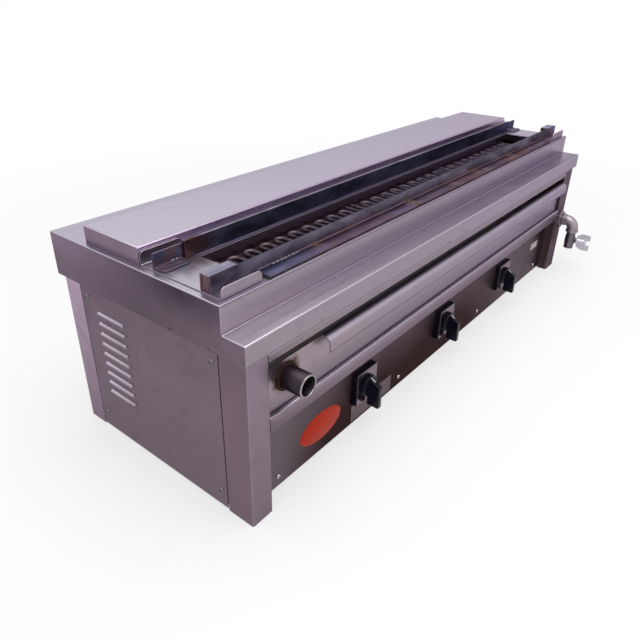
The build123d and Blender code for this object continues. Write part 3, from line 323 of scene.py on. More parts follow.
class EffectShelf:
    """Node groups for the shared effects, each built once."""

    def __init__(self) -> None:
        """Build every group."""
        self.groups = {
            Effect.GRAIN: self.group(Effect.GRAIN, self.grain),
            Effect.SMUDGE: self.group(Effect.SMUDGE, self.smudge, Scale=9.0),
            Effect.SPECKS: self.group(Effect.SPECKS, self.specks, Cells=60.0, Chance=0.3),
            Effect.RUST: self.group(Effect.RUST, self.rust, Scale=22.0, Cover=0.4),
        }

    def group(
        self, effect: Effect, make: Callable[[Wiring, NodeOutputs], Made], **defaults: float
    ) -> NodeTree:
        """Build one group round the nodes of an effect.

        Args:
            effect: Which effect.
            make: Wires up its nodes from the group's inputs and names what they give.
            **defaults: The inputs beside the vector, and their usual values.

        Returns:
            The group.
        """
        tree = bpy.data.node_groups.new(effect.value, "ShaderNodeTree")
        face = tree.interface
        face.new_socket("Vector", in_out="INPUT", socket_type="NodeSocketVector")
        for label, default in defaults.items():
            face.new_socket(label, in_out="INPUT", socket_type="NodeSocketFloat").default_value = default
        w = Wiring(tree)
        made = make(w, w.add("NodeGroupInput").outputs)
        for label, socket in made.items():
            kind = "NodeSocketColor" if socket.type == "RGBA" else "NodeSocketFloat"
            face.new_socket(label, in_out="OUTPUT", socket_type=kind)
        w.add("NodeGroupOutput", **made)
        return tree

    def grain(self, w: Wiring, takes: NodeOutputs) -> Made:
        """Fine and broad lines along a stretched direction.

        Args:
            w: Wiring of the group.
            takes: The group's inputs.

        Returns:
            Outputs by their names.
        """
        broad = w.noise(takes["Vector"], 0.12, 2.0)
        return {"Lines": w.noise(takes["Vector"], 1.0, 3.0), "Bands": w.span(broad, 0.3, 0.7)}

    def smudge(self, w: Wiring, takes: NodeOutputs) -> Made:
        """Cloudy patches left by wiping and by hands; see grain for Args and Returns."""
        cloud = w.noise(takes["Vector"], w.product(takes["Scale"], 0.35), 3.0, 0.4)
        spots = w.noise(takes["Vector"], w.product(takes["Scale"], 2.6), 6.0, 1.2)
        cloud = w.span(cloud, 0.32, 0.72)
        return {"Smudge": w.product(cloud, w.span(spots, 0.46, 0.74)), "Cloud": cloud}

    def specks(self, w: Wiring, takes: NodeOutputs) -> Made:
        """Small dark dots, on a few of many cells; see grain for Args and Returns."""
        cells = w.add("ShaderNodeTexVoronoi", Vector=takes["Vector"], Scale=takes["Cells"]).outputs
        luck, size, _ = w.parts(cells["Color"])
        picked = w.sum("LESS_THAN", luck, takes["Chance"])
        near = w.sum("SUBTRACT", w.span(size, 0.0, 1.0, 0.015, 0.075), cells["Distance"])
        return {"Specks": w.product(picked, w.span(near, 0.0, 0.03))}

    def rust(self, w: Wiring, takes: NodeOutputs) -> Made:
        """Blotches of rust with a grainy skin; see grain for Args and Returns."""
        bare = w.span(w.sum("SUBTRACT", 1.0, takes["Cover"]), 0.0, 1.0, 0.22, 0.78)
        above = w.sum("SUBTRACT", w.noise(takes["Vector"], takes["Scale"], 6.0, 0.6), bare)
        skin = w.noise(takes["Vector"], w.product(takes["Scale"], 9.0), 4.0)
        tint = w.mix(w.span(skin, 0.3, 0.7), (0.04, 0.022, 0.019), (0.17, 0.095, 0.066))
        return {"Rust": w.span(above, -0.03, 0.1), "Tint": tint, "Skin": skin}


class MaterialSheet(Wiring):
    """A new material with its shader, object coordinates and surface direction."""

    def __init__(self, name: str, shelf: EffectShelf) -> None:
        """Start the material.

        Args:
            name: Name of the finish.
            shelf: Shared effects.
        """
        self.material = bpy.data.materials.new(name)
        super().__init__(empty_tree(self.material))
        self.shelf = shelf
        self.shader = self.add("ShaderNodeBsdfPrincipled")
        self.add("ShaderNodeOutputMaterial", Surface=self.shader.outputs["BSDF"])
        place = self.add("ShaderNodeTexCoord").outputs
        self.coords, self.facing = place["Object"], place["Normal"]

    def effect(self, effect: Effect, **sockets: object) -> NodeOutputs:
        """Place a shared effect on the object's coordinates and return its outputs."""
        settings = {"node_tree": self.shelf.groups[effect]}
        return self.add("ShaderNodeGroup", settings, **{"Vector": self.coords, **sockets}).outputs

    def patches(self, scale: float | Spot, detail: float, warp: float, *ends: float) -> NodeSocket:
        """Noise on the object's coordinates.

        Args:
            scale: How fine it is, or how fine along each axis.
            detail: How many finer layers lie over it.
            warp: How far it is twisted.
            *ends: Range of it that counts and what that becomes, as in span.

        Returns:
            The patches.
        """
        coords = self.coords
        if isinstance(scale, tuple):
            coords, scale = self.stretch(coords, scale), 1.0
        return self.span(self.noise(coords, scale, detail, warp), *ends)

    def towards(self, way: Way, middle: float = 0.7, soft: float = 0.05) -> NodeSocket:
        """Mask of the faces that look along an axis, either way."""
        along = dict(zip(Way, self.parts(self.facing)))[way]
        return self.span(self.sum("ABSOLUTE", along), middle - soft, middle + soft)

    def at(self, way: Way) -> NodeSocket:
        """Coordinate along one axis."""
        return dict(zip(Way, self.parts(self.coords)))[way]

    def ramp(self, way: Way, low: float, high: float, *ends: float) -> NodeSocket:
        """Rise between two places on an axis, from and to ends as in span."""
        return self.span(self.at(way), low * MM, high * MM, *ends)

    def below(self, way: Way, level: float) -> NodeSocket:
        """1 where the coordinate along an axis is less than a level, and else 0."""
        return self.sum("LESS_THAN", self.at(way), level * MM)

    def off(self, way: Way, middle: float) -> NodeSocket:
        """Distance from a place on an axis."""
        return self.sum("ABSOLUTE", self.sum("SUBTRACT", self.at(way), middle * MM))

    def paint(self, **sockets: object) -> None:
        """Feed the shader's sockets, named with _ for a space."""
        self.fill(self.shader, sockets)

    def emboss(self, height: object, depth: float) -> None:
        """Raise the surface by a height pattern, depth in millimetres."""
        bump = self.add("ShaderNodeBump", Height=height, Distance=depth * MM, Strength=0.6)
        self.feed(self.shader.inputs["Normal"], bump.outputs["Normal"])


@dataclass(frozen=True)
class Finish:
    """A named finish and the record's slot that it belongs to."""

    name: str
    slot: str

    def make(self, shelf: EffectShelf) -> Material:
        """Material of this finish.

        Args:
            shelf: Shared effects.

        Returns:
            The material.
        """
        w = MaterialSheet(self.name, shelf)
        self.dress(w)
        return w.material

    def dress(self, w: MaterialSheet) -> None:
        """Wire up the shader.

        Args:
            w: Material being made.
        """
        raise NotImplementedError


@dataclass(frozen=True)
class Fade:
    """Tint of the faces that look one way, changing with the distance from a middle line."""

    way: Way
    middle: float
    reach: float
    near: Colour
    far: Colour

    def apply(self, w: MaterialSheet, mask: object, colour: object) -> NodeSocket:
        """Tint a colour.

        Args:
            w: Material being made.
            mask: Where the tint goes.
            colour: Colour so far.

        Returns:
            The tinted colour.
        """
        tint = w.mix(w.span(w.off(self.way, self.middle), 0.0, self.reach * MM), self.near, self.far)
        return w.mix(mask, colour, tint, "MULTIPLY")


def even(colour: Colour) -> Fade:
    """Tint that is the same all over."""
    return Fade(Way.X, 0.0, 1.0, colour, colour)


@dataclass(frozen=True)
class Steel(Finish):
    """Satin sheet with a rolled grain, wiped smudges and small dark specks, and painted light and shade on
    its faces by the way they look.
    """

    slot: str = "stainless"
    tone: Colour = (0.56, 0.53, 0.605)
    roughness: float = 0.34
    run: Way = Way.X
    side_run: Way = Way.Y
    # side, front and top are painted shade and painted light: tints of the faces that look sideways, forwards
    # and up, fitted to how light falls and what they reflect
    side: Fade = even((0.5, 0.42, 0.45))
    front: Fade = even((0.55, 0.49, 0.5))
    top: Fade = even(WHITE)
    # bends get painted shade that dims the highlights of long folds
    bends: tuple[Pair, ...] = ()
    bend_shade: Colour = (0.62, 0.57, 0.62)
    bend_half: Pair = (1.1, 1.9)
    rim: Colour = (0.62, 0.57, 0.66)
    steep: float = 0.72
    grain: float = 0.05
    grain_scale: Pair = (3.0, 640.0)
    smudge: float = 0.3
    specks: float = 0.08

    def dress(self, w: MaterialSheet) -> None:
        """Wire up the sheet with painted light on up faces and painted shade on side faces, front faces and
        long bends, then let its stains work on it; see Finish.dress for Args.
        """
        level = w.towards(Way.Z, self.steep, 0.2)
        upright = w.turned_round(level)
        side = w.product(upright, w.towards(Way.X, 0.7, 0.15))
        front = w.sum("SUBTRACT", upright, side)
        plain, turned = (w.stretch(w.coords, self.lines(way)) for way in (self.run, self.side_run))
        grain = w.effect(Effect.GRAIN, Vector=w.choose(side, plain, turned))
        wiped = w.effect(Effect.SMUDGE)
        specks = w.effect(Effect.SPECKS, Chance=self.specks)
        colour = w.shades(grain["Lines"], self.tone, 1.0 - self.grain, 1.0 + self.grain)
        colour = w.mix(w.product(grain["Bands"], self.grain, 0.6), colour, times(self.tone, 0.55))
        colour = w.mix(w.product(wiped["Smudge"], self.smudge), colour, times(self.tone, 0.5))
        colour = w.mix(w.product(wiped["Cloud"], 0.1), colour, times(self.tone, 1.25))
        # Painted light on up faces and painted shade on side faces, then painted shade on front faces and
        # long bends
        colour = self.shade_sides(w, side, self.top.apply(w, level, colour))
        colour = self.shade_bends(w, self.front.apply(w, front, colour))
        colour = w.mix(specks["Specks"], colour, (0.06, 0.04, 0.035))
        rough = w.span(grain["Lines"], 0.25, 0.75, self.roughness - 0.05, self.roughness + 0.05)
        rough = w.sum("ADD", rough, w.product(wiped["Smudge"], 0.16))
        colour, rough, metal = self.stain(w, colour, rough)
        w.paint(Base_Color=colour, Roughness=rough, Metallic=metal, Specular_Tint=self.rim)
        w.emboss(grain["Lines"], 0.012)

    def lines(self, way: Way) -> Spot:
        """Scale that draws a pattern out along one direction."""
        coarse, fine = self.grain_scale
        return tuple(coarse if along else fine for along in way.value)

    def shade_sides(self, w: MaterialSheet, mask: object, colour: object) -> NodeSocket:
        """Paint shade on the faces that look sideways."""
        return self.side.apply(w, mask, colour)

    def shade_bends(self, w: MaterialSheet, colour: object) -> object:
        """Paint shade over the long bends, given by their y and z, to dim their highlights.

        Args:
            w: Material being made.
            colour: Colour so far.

        Returns:
            The colour with painted shade on its bends.
        """
        near, far = self.bend_half
        for y, z in self.bends:
            out = w.sum("MAXIMUM", w.off(Way.Y, y), w.off(Way.Z, z))
            colour = w.mix(w.span(out, near * MM, far * MM, 1.0, 0.0), colour, self.bend_shade, "MULTIPLY")
        return colour

    def stain(self, w: MaterialSheet, colour: object, rough: object) -> tuple[object, object, object]:
        """Marks of use on this sheet; a plain sheet has none.

        Args:
            w: Material being made.
            colour: Colour so far.
            rough: Roughness so far.

        Returns:
            Colour, roughness and metallic share.
        """
        return colour, rough, 1.0


@dataclass(frozen=True)
class DeckSteel(Steel):
    """Stepped top sheet, with painted light on its ledge, painted shade on its ends, in its well and on its
    bends, and dirt along its lower edge.
    """

    ledge_z: float = 300.0
    # ledge and brow are painted light on the low ledge: lighter at its left end and, further right, along its
    # front edge
    ledge: Fade = Fade(Way.X, -560.0, 860.0, (1.18, 1.18, 1.15), (0.72, 0.68, 0.7))
    ledge_x: Pair = (-560.0, -100.0)
    brow: Fade = Fade(Way.Y, -128.0, 34.0, (1.1, 1.1, 1.1), (0.76, 0.69, 0.74))
    # low_side is painted shade on the lower half of the skirt's ends
    low_side: Fade = Fade(Way.Y, 40.0, 180.0, (0.2, 0.16, 0.172), (0.31, 0.248, 0.267))
    skirt_z: Pair = (285.0, 325.0)
    well_y: float = -41.5
    well_half: float = 52.0
    # wall is painted shade on the walls of the well, darker further down
    wall: Fade = Fade(Way.Z, 337.0, 22.0, (0.8, 0.72, 0.8), (0.26, 0.22, 0.25))
    hem_z: Pair = (265.0, 281.0)
    # bends: painted shade that dims the highlights of the crease, the step's top edge and the hem
    bends: tuple[Pair, ...] = ((-124.2, 296.3), (-121.8, 333.8), (-162.6, 265.3))
    dirt_tone: Colour = (0.045, 0.034, 0.034)

    def shade_sides(self, w: MaterialSheet, mask: object, colour: object) -> NodeSocket:
        """Paint shade on the skirt's ends, the lower half its own way."""
        low, high = (fade.apply(w, mask, colour) for fade in (self.low_side, self.side))
        return w.mix(w.ramp(Way.Z, *self.skirt_z), low, high)

    def stain(self, w: MaterialSheet, colour: object, rough: object) -> tuple[object, object, object]:
        """Painted light on the ledge, painted shade on the well walls, and smears of dried water; see
        Steel.stain for Args and Returns.
        """
        low = w.product(w.towards(Way.Z, 0.92), w.below(Way.Z, self.ledge_z))
        # Painted light on the ledge and along its front edge
        colour = self.ledge.apply(w, low, colour)
        colour = self.brow.apply(w, w.product(low, w.ramp(Way.X, *self.ledge_x)), colour)
        inside = w.sum("LESS_THAN", w.off(Way.Y, self.well_y), self.well_half * MM)
        walls = w.product(inside, w.turned_round(w.towards(Way.Z)), w.towards(Way.Y))
        # Painted shade on the well walls
        colour = self.wall.apply(w, walls, colour)
        smears = w.patches((60.0, 60.0, 190.0), 5.0, 1.0, 0.56, 0.7)
        areas = w.patches(7.0, 2.0, 0.0, 0.42, 0.56)
        dirt = w.product(smears, w.ramp(Way.Z, *self.hem_z, 1.0, 0.0), areas, 0.7)
        return w.mix(dirt, colour, self.dirt_tone), w.sum("ADD", rough, w.product(dirt, 0.3)), 1.0


@dataclass(frozen=True)
class ScorchedSteel(Steel):
    """Sheet with heat colours and a burnt ring round a welded pipe, and painted shade under its lip."""

    ring_x: float = -518.0
    ring_z: float = 210.0
    # edge_y and edge_z bound a painted shade line along the lip's lower edge
    edge_y: float = -168.0
    edge_z: float = 217.8
    # foot is painted shade on the plate below the lip
    foot: Fade = Fade(Way.Z, 180.0, 26.0, (0.75, 0.75, 0.75), WHITE)
    lip_edge_shade: Colour = (0.05, 0.04, 0.045)
    halo_tone: Colour = (0.175, 0.095, 0.066)
    burnt_tone: Colour = (0.026, 0.013, 0.011)

    def stain(self, w: MaterialSheet, colour: object, rough: object) -> tuple[object, object, object]:
        """Burnt ring and brown halo, with painted shade under the lip and a painted shade line along its
        lower edge; see Steel.stain for Args and Returns.
        """
        x, _, z = w.parts(w.stretch(w.coords, (1 / MM, 1 / MM, 1 / MM), (-self.ring_x, 0.0, -self.ring_z)))
        far = w.sum("ADD", w.length(x, z), w.patches(60.0, 3.0, 0.0, 0.3, 0.7, -5.0, 5.0))
        burnt = w.span(far, 18.0, 25.0, 0.95, 0.0)
        # Painted shade below the lip, then the painted shade line at the lip's lower edge
        colour = self.foot.apply(w, w.towards(Way.Y), colour)
        edge = w.product(w.below(Way.Z, self.edge_z), w.below(Way.Y, self.edge_y), 0.6)
        colour = w.mix(edge, colour, self.lip_edge_shade)
        colour = w.mix(w.span(far, 20.0, 32.0, 0.75, 0.0), colour, self.halo_tone)
        colour = w.mix(burnt, colour, self.burnt_tone)
        return colour, w.sum("ADD", rough, w.product(burnt, 0.2)), w.span(burnt, 0.0, 1.0, 1.0, 0.35)


@dataclass(frozen=True)
class BrownReflectionSteel(Steel):
    """Panel under a painted brown reflection that is strongest in its lower middle."""

    grow_x: Pair = (-520.0, -380.0)
    thin_x: Pair = (40.0, 300.0)
    low_z: Pair = (20.0, 110.0)
    # Colour of the painted reflection
    brown: Colour = (0.038, 0.02, 0.02)

    def stain(self, w: MaterialSheet, colour: object, rough: object) -> tuple[object, object, object]:
        """Painted brown reflection, cloudy at its borders; see Steel.stain for Args and Returns."""
        # Painted brown reflection, heaviest low down in the middle of the panel
        across = w.product(w.ramp(Way.X, *self.grow_x), w.ramp(Way.X, *self.thin_x, 1.0, 0.1))
        cloud = w.patches(7.0, 4.0, 0.5, 0.3, 0.7, 0.85, 1.15)
        film = w.product(across, w.ramp(Way.Z, *self.low_z, 1.3, 0.48), cloud)
        return w.mix(w.span(film, 0.0, 1.0, 0.0, 0.97), colour, self.brown), rough, 1.0


@dataclass(frozen=True)
class RailSteel(Steel):
    """Rail with a painted highlight along its upper bend."""

    # Painted highlight: front faces lighter near the upper bend and a little darker away from it
    crown_light: Fade = Fade(Way.Z, 164.0, 13.0, (1.32, 1.34, 1.25), (0.88, 0.87, 0.8))

    def stain(self, w: MaterialSheet, colour: object, rough: object) -> tuple[object, object, object]:
        """Painted highlight along the upper bend; see Steel.stain for Args and Returns."""
        return self.crown_light.apply(w, w.towards(Way.Y), colour), rough, 1.0


@dataclass(frozen=True)
class DrippedSteel(Steel):
    """Post with brown water stains below a pipe joint."""

    wet_z: Pair = (160.0, 190.0)
    brown: Colour = (0.05, 0.03, 0.028)

    def stain(self, w: MaterialSheet, colour: object, rough: object) -> tuple[object, object, object]:
        """Vertical runs of brown water; see Steel.stain for Args and Returns."""
        runs = w.patches((90.0, 90.0, 6.0), 4.0, 0.4, 0.36, 0.62)
        film = w.product(runs, w.ramp(Way.Z, *self.wet_z, 1.0, 0.0), 0.85)
        return w.mix(film, colour, self.brown), w.sum("ADD", rough, w.product(film, 0.2)), 1.0


@dataclass(frozen=True)
class Iron(Finish):
    """Hot-rolled bar: blue-black scale, broken by rust, with painted light on its upward faces and, where
    asked, painted shade.
    """

    slot: str = "iron"
    skin: Colour = (0.045, 0.047, 0.062)
    # Colour of the upward faces: painted light and reflection, a lighter copy of the scale
    lit_top_tone: Colour = (0.1, 0.095, 0.12)
    rust: float = 0.2
    rusty_x: Pair = (0.0, 1.0)
    rusty: float = 0.0
    haze: float = 0.0
    haze_tone: Colour = (0.11, 0.064, 0.055)
    haze_scale: float = 26.0
    haze_least: float = 0.0
    below_z: float = 400.0
    # Painted shade along the bar
    shade: Fade = even(WHITE)
    # Painted shade in the inner corner where the shelf meets the upright bar
    root: Fade = even(WHITE)
    # Painted shade that dims the bar's top edge
    crest_shade: Colour = WHITE
    end_rust: bool = False
    end_tones: tuple[Colour, Colour] = ((0.055, 0.026, 0.026), (0.27, 0.175, 0.2))

    def dress(self, w: MaterialSheet) -> None:
        """Wire up the scale with painted light on its upward faces and painted shade where asked, the rust
        and, where asked, a sawn and rusted end; see Finish.dress for Args.
        """
        mottle = w.patches((14.0, 40.0, 40.0), 6.0, 0.8, 0.35, 0.65)
        level, below = w.towards(Way.Z), w.below(Way.Z, self.below_z)
        # Painted light on upward faces; above below_z it is dimmed by painted shade on the top edge
        up = w.mix(w.turned_round(below), w.shades(mottle, self.lit_top_tone, 0.75, 1.2), self.crest_shade, "MULTIPLY")
        film = w.mix(level, w.shades(mottle, self.skin, 0.6, 1.45), up)
        film = self.shade.apply(w, 1.0, film)
        grown = w.product(w.ramp(Way.X, *self.rusty_x), below)
        bloom = w.effect(Effect.RUST, Cover=w.sum("ADD", w.product(grown, self.rusty), self.rust))
        cloud = w.patches(self.haze_scale, 4.0, 0.8, 0.42, 0.6, self.haze_least, 1.0)
        film = w.mix(w.product(grown, cloud, self.haze), film, self.haze_tone)
        # Painted shade in the corner at the root of the bar
        film = self.root.apply(w, w.product(below, level), film)
        pits = w.effect(Effect.SPECKS, Cells=210.0)["Specks"]
        film = w.mix(w.product(pits, 0.7), film, times(self.skin, 0.2))
        rust = bloom["Rust"]
        if self.end_rust:
            end = w.towards(Way.X)
            lines = w.patches((40.0, 1100.0, 30.0), 3.0, 0.0, 0.36, 0.64)
            film = w.mix(end, film, w.mix(lines, *self.end_tones))
            rust = w.product(rust, w.span(end, 0.0, 1.0, 1.0, 0.3))
        w.paint(
            Base_Color=w.mix(rust, film, bloom["Tint"]),
            Metallic=w.span(rust, 0.0, 1.0, 0.8, 0.0),
            Roughness=w.sum("ADD", w.span(mottle, 0.0, 1.0, 0.34, 0.5), w.product(rust, 0.38)),
            Specular_IOR_Level=0.2,
            Specular_Tint=(0.3, 0.28, 0.34),
        )
        w.emboss(w.sum("ADD", bloom["Skin"], w.product(rust, 2.0)), 0.2)


@dataclass(frozen=True)
class BurntSteel(Finish):
    """Sheet inside the well, browned by heat and dripped fat."""

    slot: str = "scaled_steel"
    tone: Colour = (0.06, 0.032, 0.044)

    def dress(self, w: MaterialSheet) -> None:
        """Wire up a brown, blotched sheet; see Finish.dress for Args."""
        bloom = w.effect(Effect.RUST, Scale=16.0, Cover=0.34)
        runs = w.patches((70.0, 70.0, 12.0), 4.0, 0.0, 0.35, 0.65)
        colour = w.mix(w.product(bloom["Rust"], 0.7), w.shades(runs, self.tone, 0.5, 1.5), bloom["Tint"])
        rough = w.span(runs, 0.0, 1.0, 0.45, 0.7)
        w.paint(Base_Color=colour, Metallic=0.5, Roughness=rough, Specular_IOR_Level=0.2)
        w.emboss(bloom["Skin"], 0.2)


@dataclass(frozen=True)
class Sheath(Finish):
    """Heater tube, burnt grey on the runs, with a pale painted highlight on the bends."""

    slot: str = "heater_sheath"
    tone: Colour = (0.1, 0.083, 0.115)
    # Pale colour of the painted highlight on the bends
    bend_glint: Colour = (0.2, 0.16, 0.172)
    fat: Colour = (0.03, 0.022, 0.018)
    bend_y: Pair = (-21.0, -9.0)
    glint_x: Pair = (-450.0, 200.0)
    length: Fade = Fade(Way.X, -560.0, 1000.0, (0.96, 0.94, 0.94), (0.66, 0.62, 0.66))

    def dress(self, w: MaterialSheet) -> None:
        """Wire up the tube's oxide, with a painted highlight on the bends and dark spots of fat; see
        Finish.dress for Args.
        """
        blotch = w.patches(110.0, 4.0, 0.6, 0.35, 0.65)
        # Painted highlight on the rear bends, strongest at the left end
        pale = w.product(w.ramp(Way.Y, *self.bend_y, 0.0, 0.8), w.ramp(Way.X, *self.glint_x, 1.0, 0.1))
        pale = w.product(pale, w.span(blotch, 0.0, 1.0, 0.55, 1.0))
        colour = w.mix(pale, w.shades(blotch, self.tone, 0.55, 1.35), self.bend_glint)
        fat = w.effect(Effect.SPECKS, Cells=220.0)["Specks"]
        w.paint(
            Base_Color=w.mix(fat, self.length.apply(w, 1.0, colour), self.fat),
            Metallic=0.7,
            Roughness=w.span(blotch, 0.0, 1.0, 0.36, 0.56),
            Specular_IOR_Level=0.2,
            Specular_Tint=(0.4, 0.37, 0.44),
        )
        w.emboss(blotch, 0.08)


@dataclass(frozen=True)
class Moulding(Finish):
    """Moulded plastic with a fine skin and dust in its dull places."""

    slot: str = "black_plastic"
    tone: Colour = (0.006, 0.0055, 0.012)
    gloss: float = 0.16

    def dress(self, w: MaterialSheet) -> None:
        """Wire up the plastic with worn, slightly dusty patches; see Finish.dress for Args."""
        skin = w.noise(w.coords, 1400.0)
        dust = w.product(w.effect(Effect.SMUDGE, Scale=70.0)["Smudge"], 0.25)
        w.paint(
            Base_Color=w.shades(dust, self.tone, 1.0, 6.0),
            Roughness=w.sum("ADD", w.span(skin, 0.3, 0.7, self.gloss, self.gloss + 0.07), dust),
            Specular_IOR_Level=0.14,
        )
        w.emboss(skin, 0.02)


@dataclass(frozen=True)
class Casting(Finish):
    """Cast or drawn metal with a mottled, slightly pitted skin."""

    tone: Colour = (0.4, 0.375, 0.41)
    roughness: float = 0.42
    pitting: float = 0.12
    dirt: float = 0.3
    metal: float = 1.0
    rim: Colour = (0.6, 0.56, 0.62)

    def dress(self, w: MaterialSheet) -> None:
        """Wire up the skin with grime in patches; see Finish.dress for Args."""
        wiped = w.effect(Effect.SMUDGE, Scale=55.0)["Smudge"]
        skin = w.noise(w.coords, 420.0, 5.0)
        colour = w.shades(w.span(skin, 0.3, 0.7), self.tone, 0.82, 1.15)
        w.paint(
            Base_Color=w.mix(w.product(wiped, self.dirt), colour, times(self.tone, 0.35)),
            Metallic=self.metal,
            Specular_Tint=self.rim,
            Roughness=w.span(skin, 0.3, 0.7, self.roughness - 0.06, self.roughness + 0.08),
        )
        w.emboss(skin, self.pitting)


@dataclass(frozen=True)
class Film(Finish):
    """Printed film or enamel, a little faded and scuffed."""

    tone: Colour = (0.5, 0.06, 0.03)
    fade: Colour = (0.55, 0.12, 0.06)
    roughness: float = 0.35

    def dress(self, w: MaterialSheet) -> None:
        """Wire up the film with its faded and scuffed patches; see Finish.dress for Args."""
        wiped = w.effect(Effect.SMUDGE, Scale=45.0)
        grit = w.noise(w.coords, 700.0, 3.0)
        colour = w.mix(w.span(wiped["Cloud"], 0.0, 1.0, 0.0, 0.7), self.tone, self.fade)
        w.paint(
            Base_Color=w.mix(w.product(wiped["Smudge"], 0.35), colour, times(self.tone, 0.55)),
            Roughness=w.span(grit, 0.3, 0.7, self.roughness - 0.05, self.roughness + 0.1),
            Specular_IOR_Level=0.06,
        )
        w.emboss(grit, 0.01)


class Bench:
    """Bmesh moves that the sub-assemblies share, with places and sizes in millimetres."""

    @staticmethod
    def only(kind: type, geom: Iterable) -> list:
        """Parts of one kind out of what an operator gave."""
        return [part for part in geom if isinstance(part, kind)]

    @staticmethod
    def outward(bm: BMesh) -> None:
        """Let every face look outward."""
        bmesh.ops.recalc_face_normals(bm, faces=bm.faces)

    @staticmethod
    def row(bm: BMesh, spots: Iterable[Vector]) -> tuple[list[BMVert], list[BMEdge]]:
        """Corners at spots in metres, and the edges that join them one after another."""
        verts = [bm.verts.new(spot) for spot in spots]
        return verts, [bm.edges.new(pair) for pair in zip(verts, verts[1:])]

    @staticmethod
    def face(bm: BMesh, corners: Iterable[Spot]) -> BMFace:
        """Flat face on its corners."""
        return bm.faces.new([bm.verts.new(mm(*corner)) for corner in corners])

    @staticmethod
    def pull(bm: BMesh, faces: list[BMFace], along: Spot) -> list[BMVert]:
        """Draw faces out.

        Args:
            bm: Mesh being built.
            faces: Faces.
            along: How far and where.

        Returns:
            The far side's corners.
        """
        far = Bench.only(BMVert, bmesh.ops.extrude_face_region(bm, geom=faces)["geom"])
        bmesh.ops.translate(bm, vec=mm(*along), verts=far)
        return far

    @staticmethod
    def cut(bm: BMesh, spot: Spot, normal: Spot, **clear: bool) -> None:
        """Cut a mesh along a plane and, where asked, clear one side of it."""
        geom = [*bm.verts, *bm.edges, *bm.faces]
        bmesh.ops.bisect_plane(bm, geom=geom, plane_co=mm(*spot), plane_no=normal, **clear)

    @staticmethod
    def block(bm: BMesh, place: Matrix, size: Spot) -> list[BMVert]:
        """Box about a place, and its corners."""
        return bmesh.ops.create_cube(bm, size=1.0, matrix=place @ Matrix.Diagonal((*mm(*size), 1.0)))["verts"]

    @staticmethod
    def drawn(bm: BMesh, outline: Sequence[Spot], along: Spot) -> list[BMVert]:
        """Prism on a flat outline, and its corners."""
        base = Bench.face(bm, outline)
        return [*base.verts, *Bench.pull(bm, [base], along)]

    @staticmethod
    def turned(bm: BMesh, outline: Iterable[Pair], base: Spot, axis: Spot, steps: int) -> None:
        """Lathe work: an outline spun about an axis.

        Args:
            bm: Mesh being built.
            outline: Radius and distance along the axis.
            base: Point on the axis that distances start from.
            axis: Direction of the axis.
            steps: Steps in the full turn.
        """
        line, middle = Vector(axis), mm(*base)
        out = line.orthogonal().normalized()
        verts, edges = Bench.row(bm, (middle + (out * radius + line * way) * MM for radius, way in outline))
        whole = {"angle": math.tau, "steps": steps, "use_merge": True, "use_duplicate": False}
        bmesh.ops.spin(bm, geom=verts + edges, cent=middle, axis=line, **whole)
        bmesh.ops.remove_doubles(bm, verts=bm.verts, dist=SAME_POINT)

    @staticmethod
    def soften(
        bm: BMesh, geom: Iterable, width: float, steps: int, affect: str = "EDGES", clamp: bool = True
    ) -> None:
        """Round edges or corners over.

        Args:
            bm: Mesh being built.
            geom: Edges or corners.
            width: How far the rounding reaches.
            steps: Steps across it.
            affect: EDGES or VERTICES.
            clamp: Whether roundings stop where they meet.
        """
        how = {"offset_type": "OFFSET", "segments": steps, "profile": 0.5, "affect": affect}
        bmesh.ops.bevel(bm, geom=list(geom), offset=width * MM, clamp_overlap=clamp, material=-1, **how)

    @staticmethod
    def edges_of(verts: Iterable[BMVert]) -> list[BMEdge]:
        """Edges that join the given corners."""
        kept = set(verts)
        return list({e for v in kept for e in v.link_edges if e.other_vert(v) in kept})


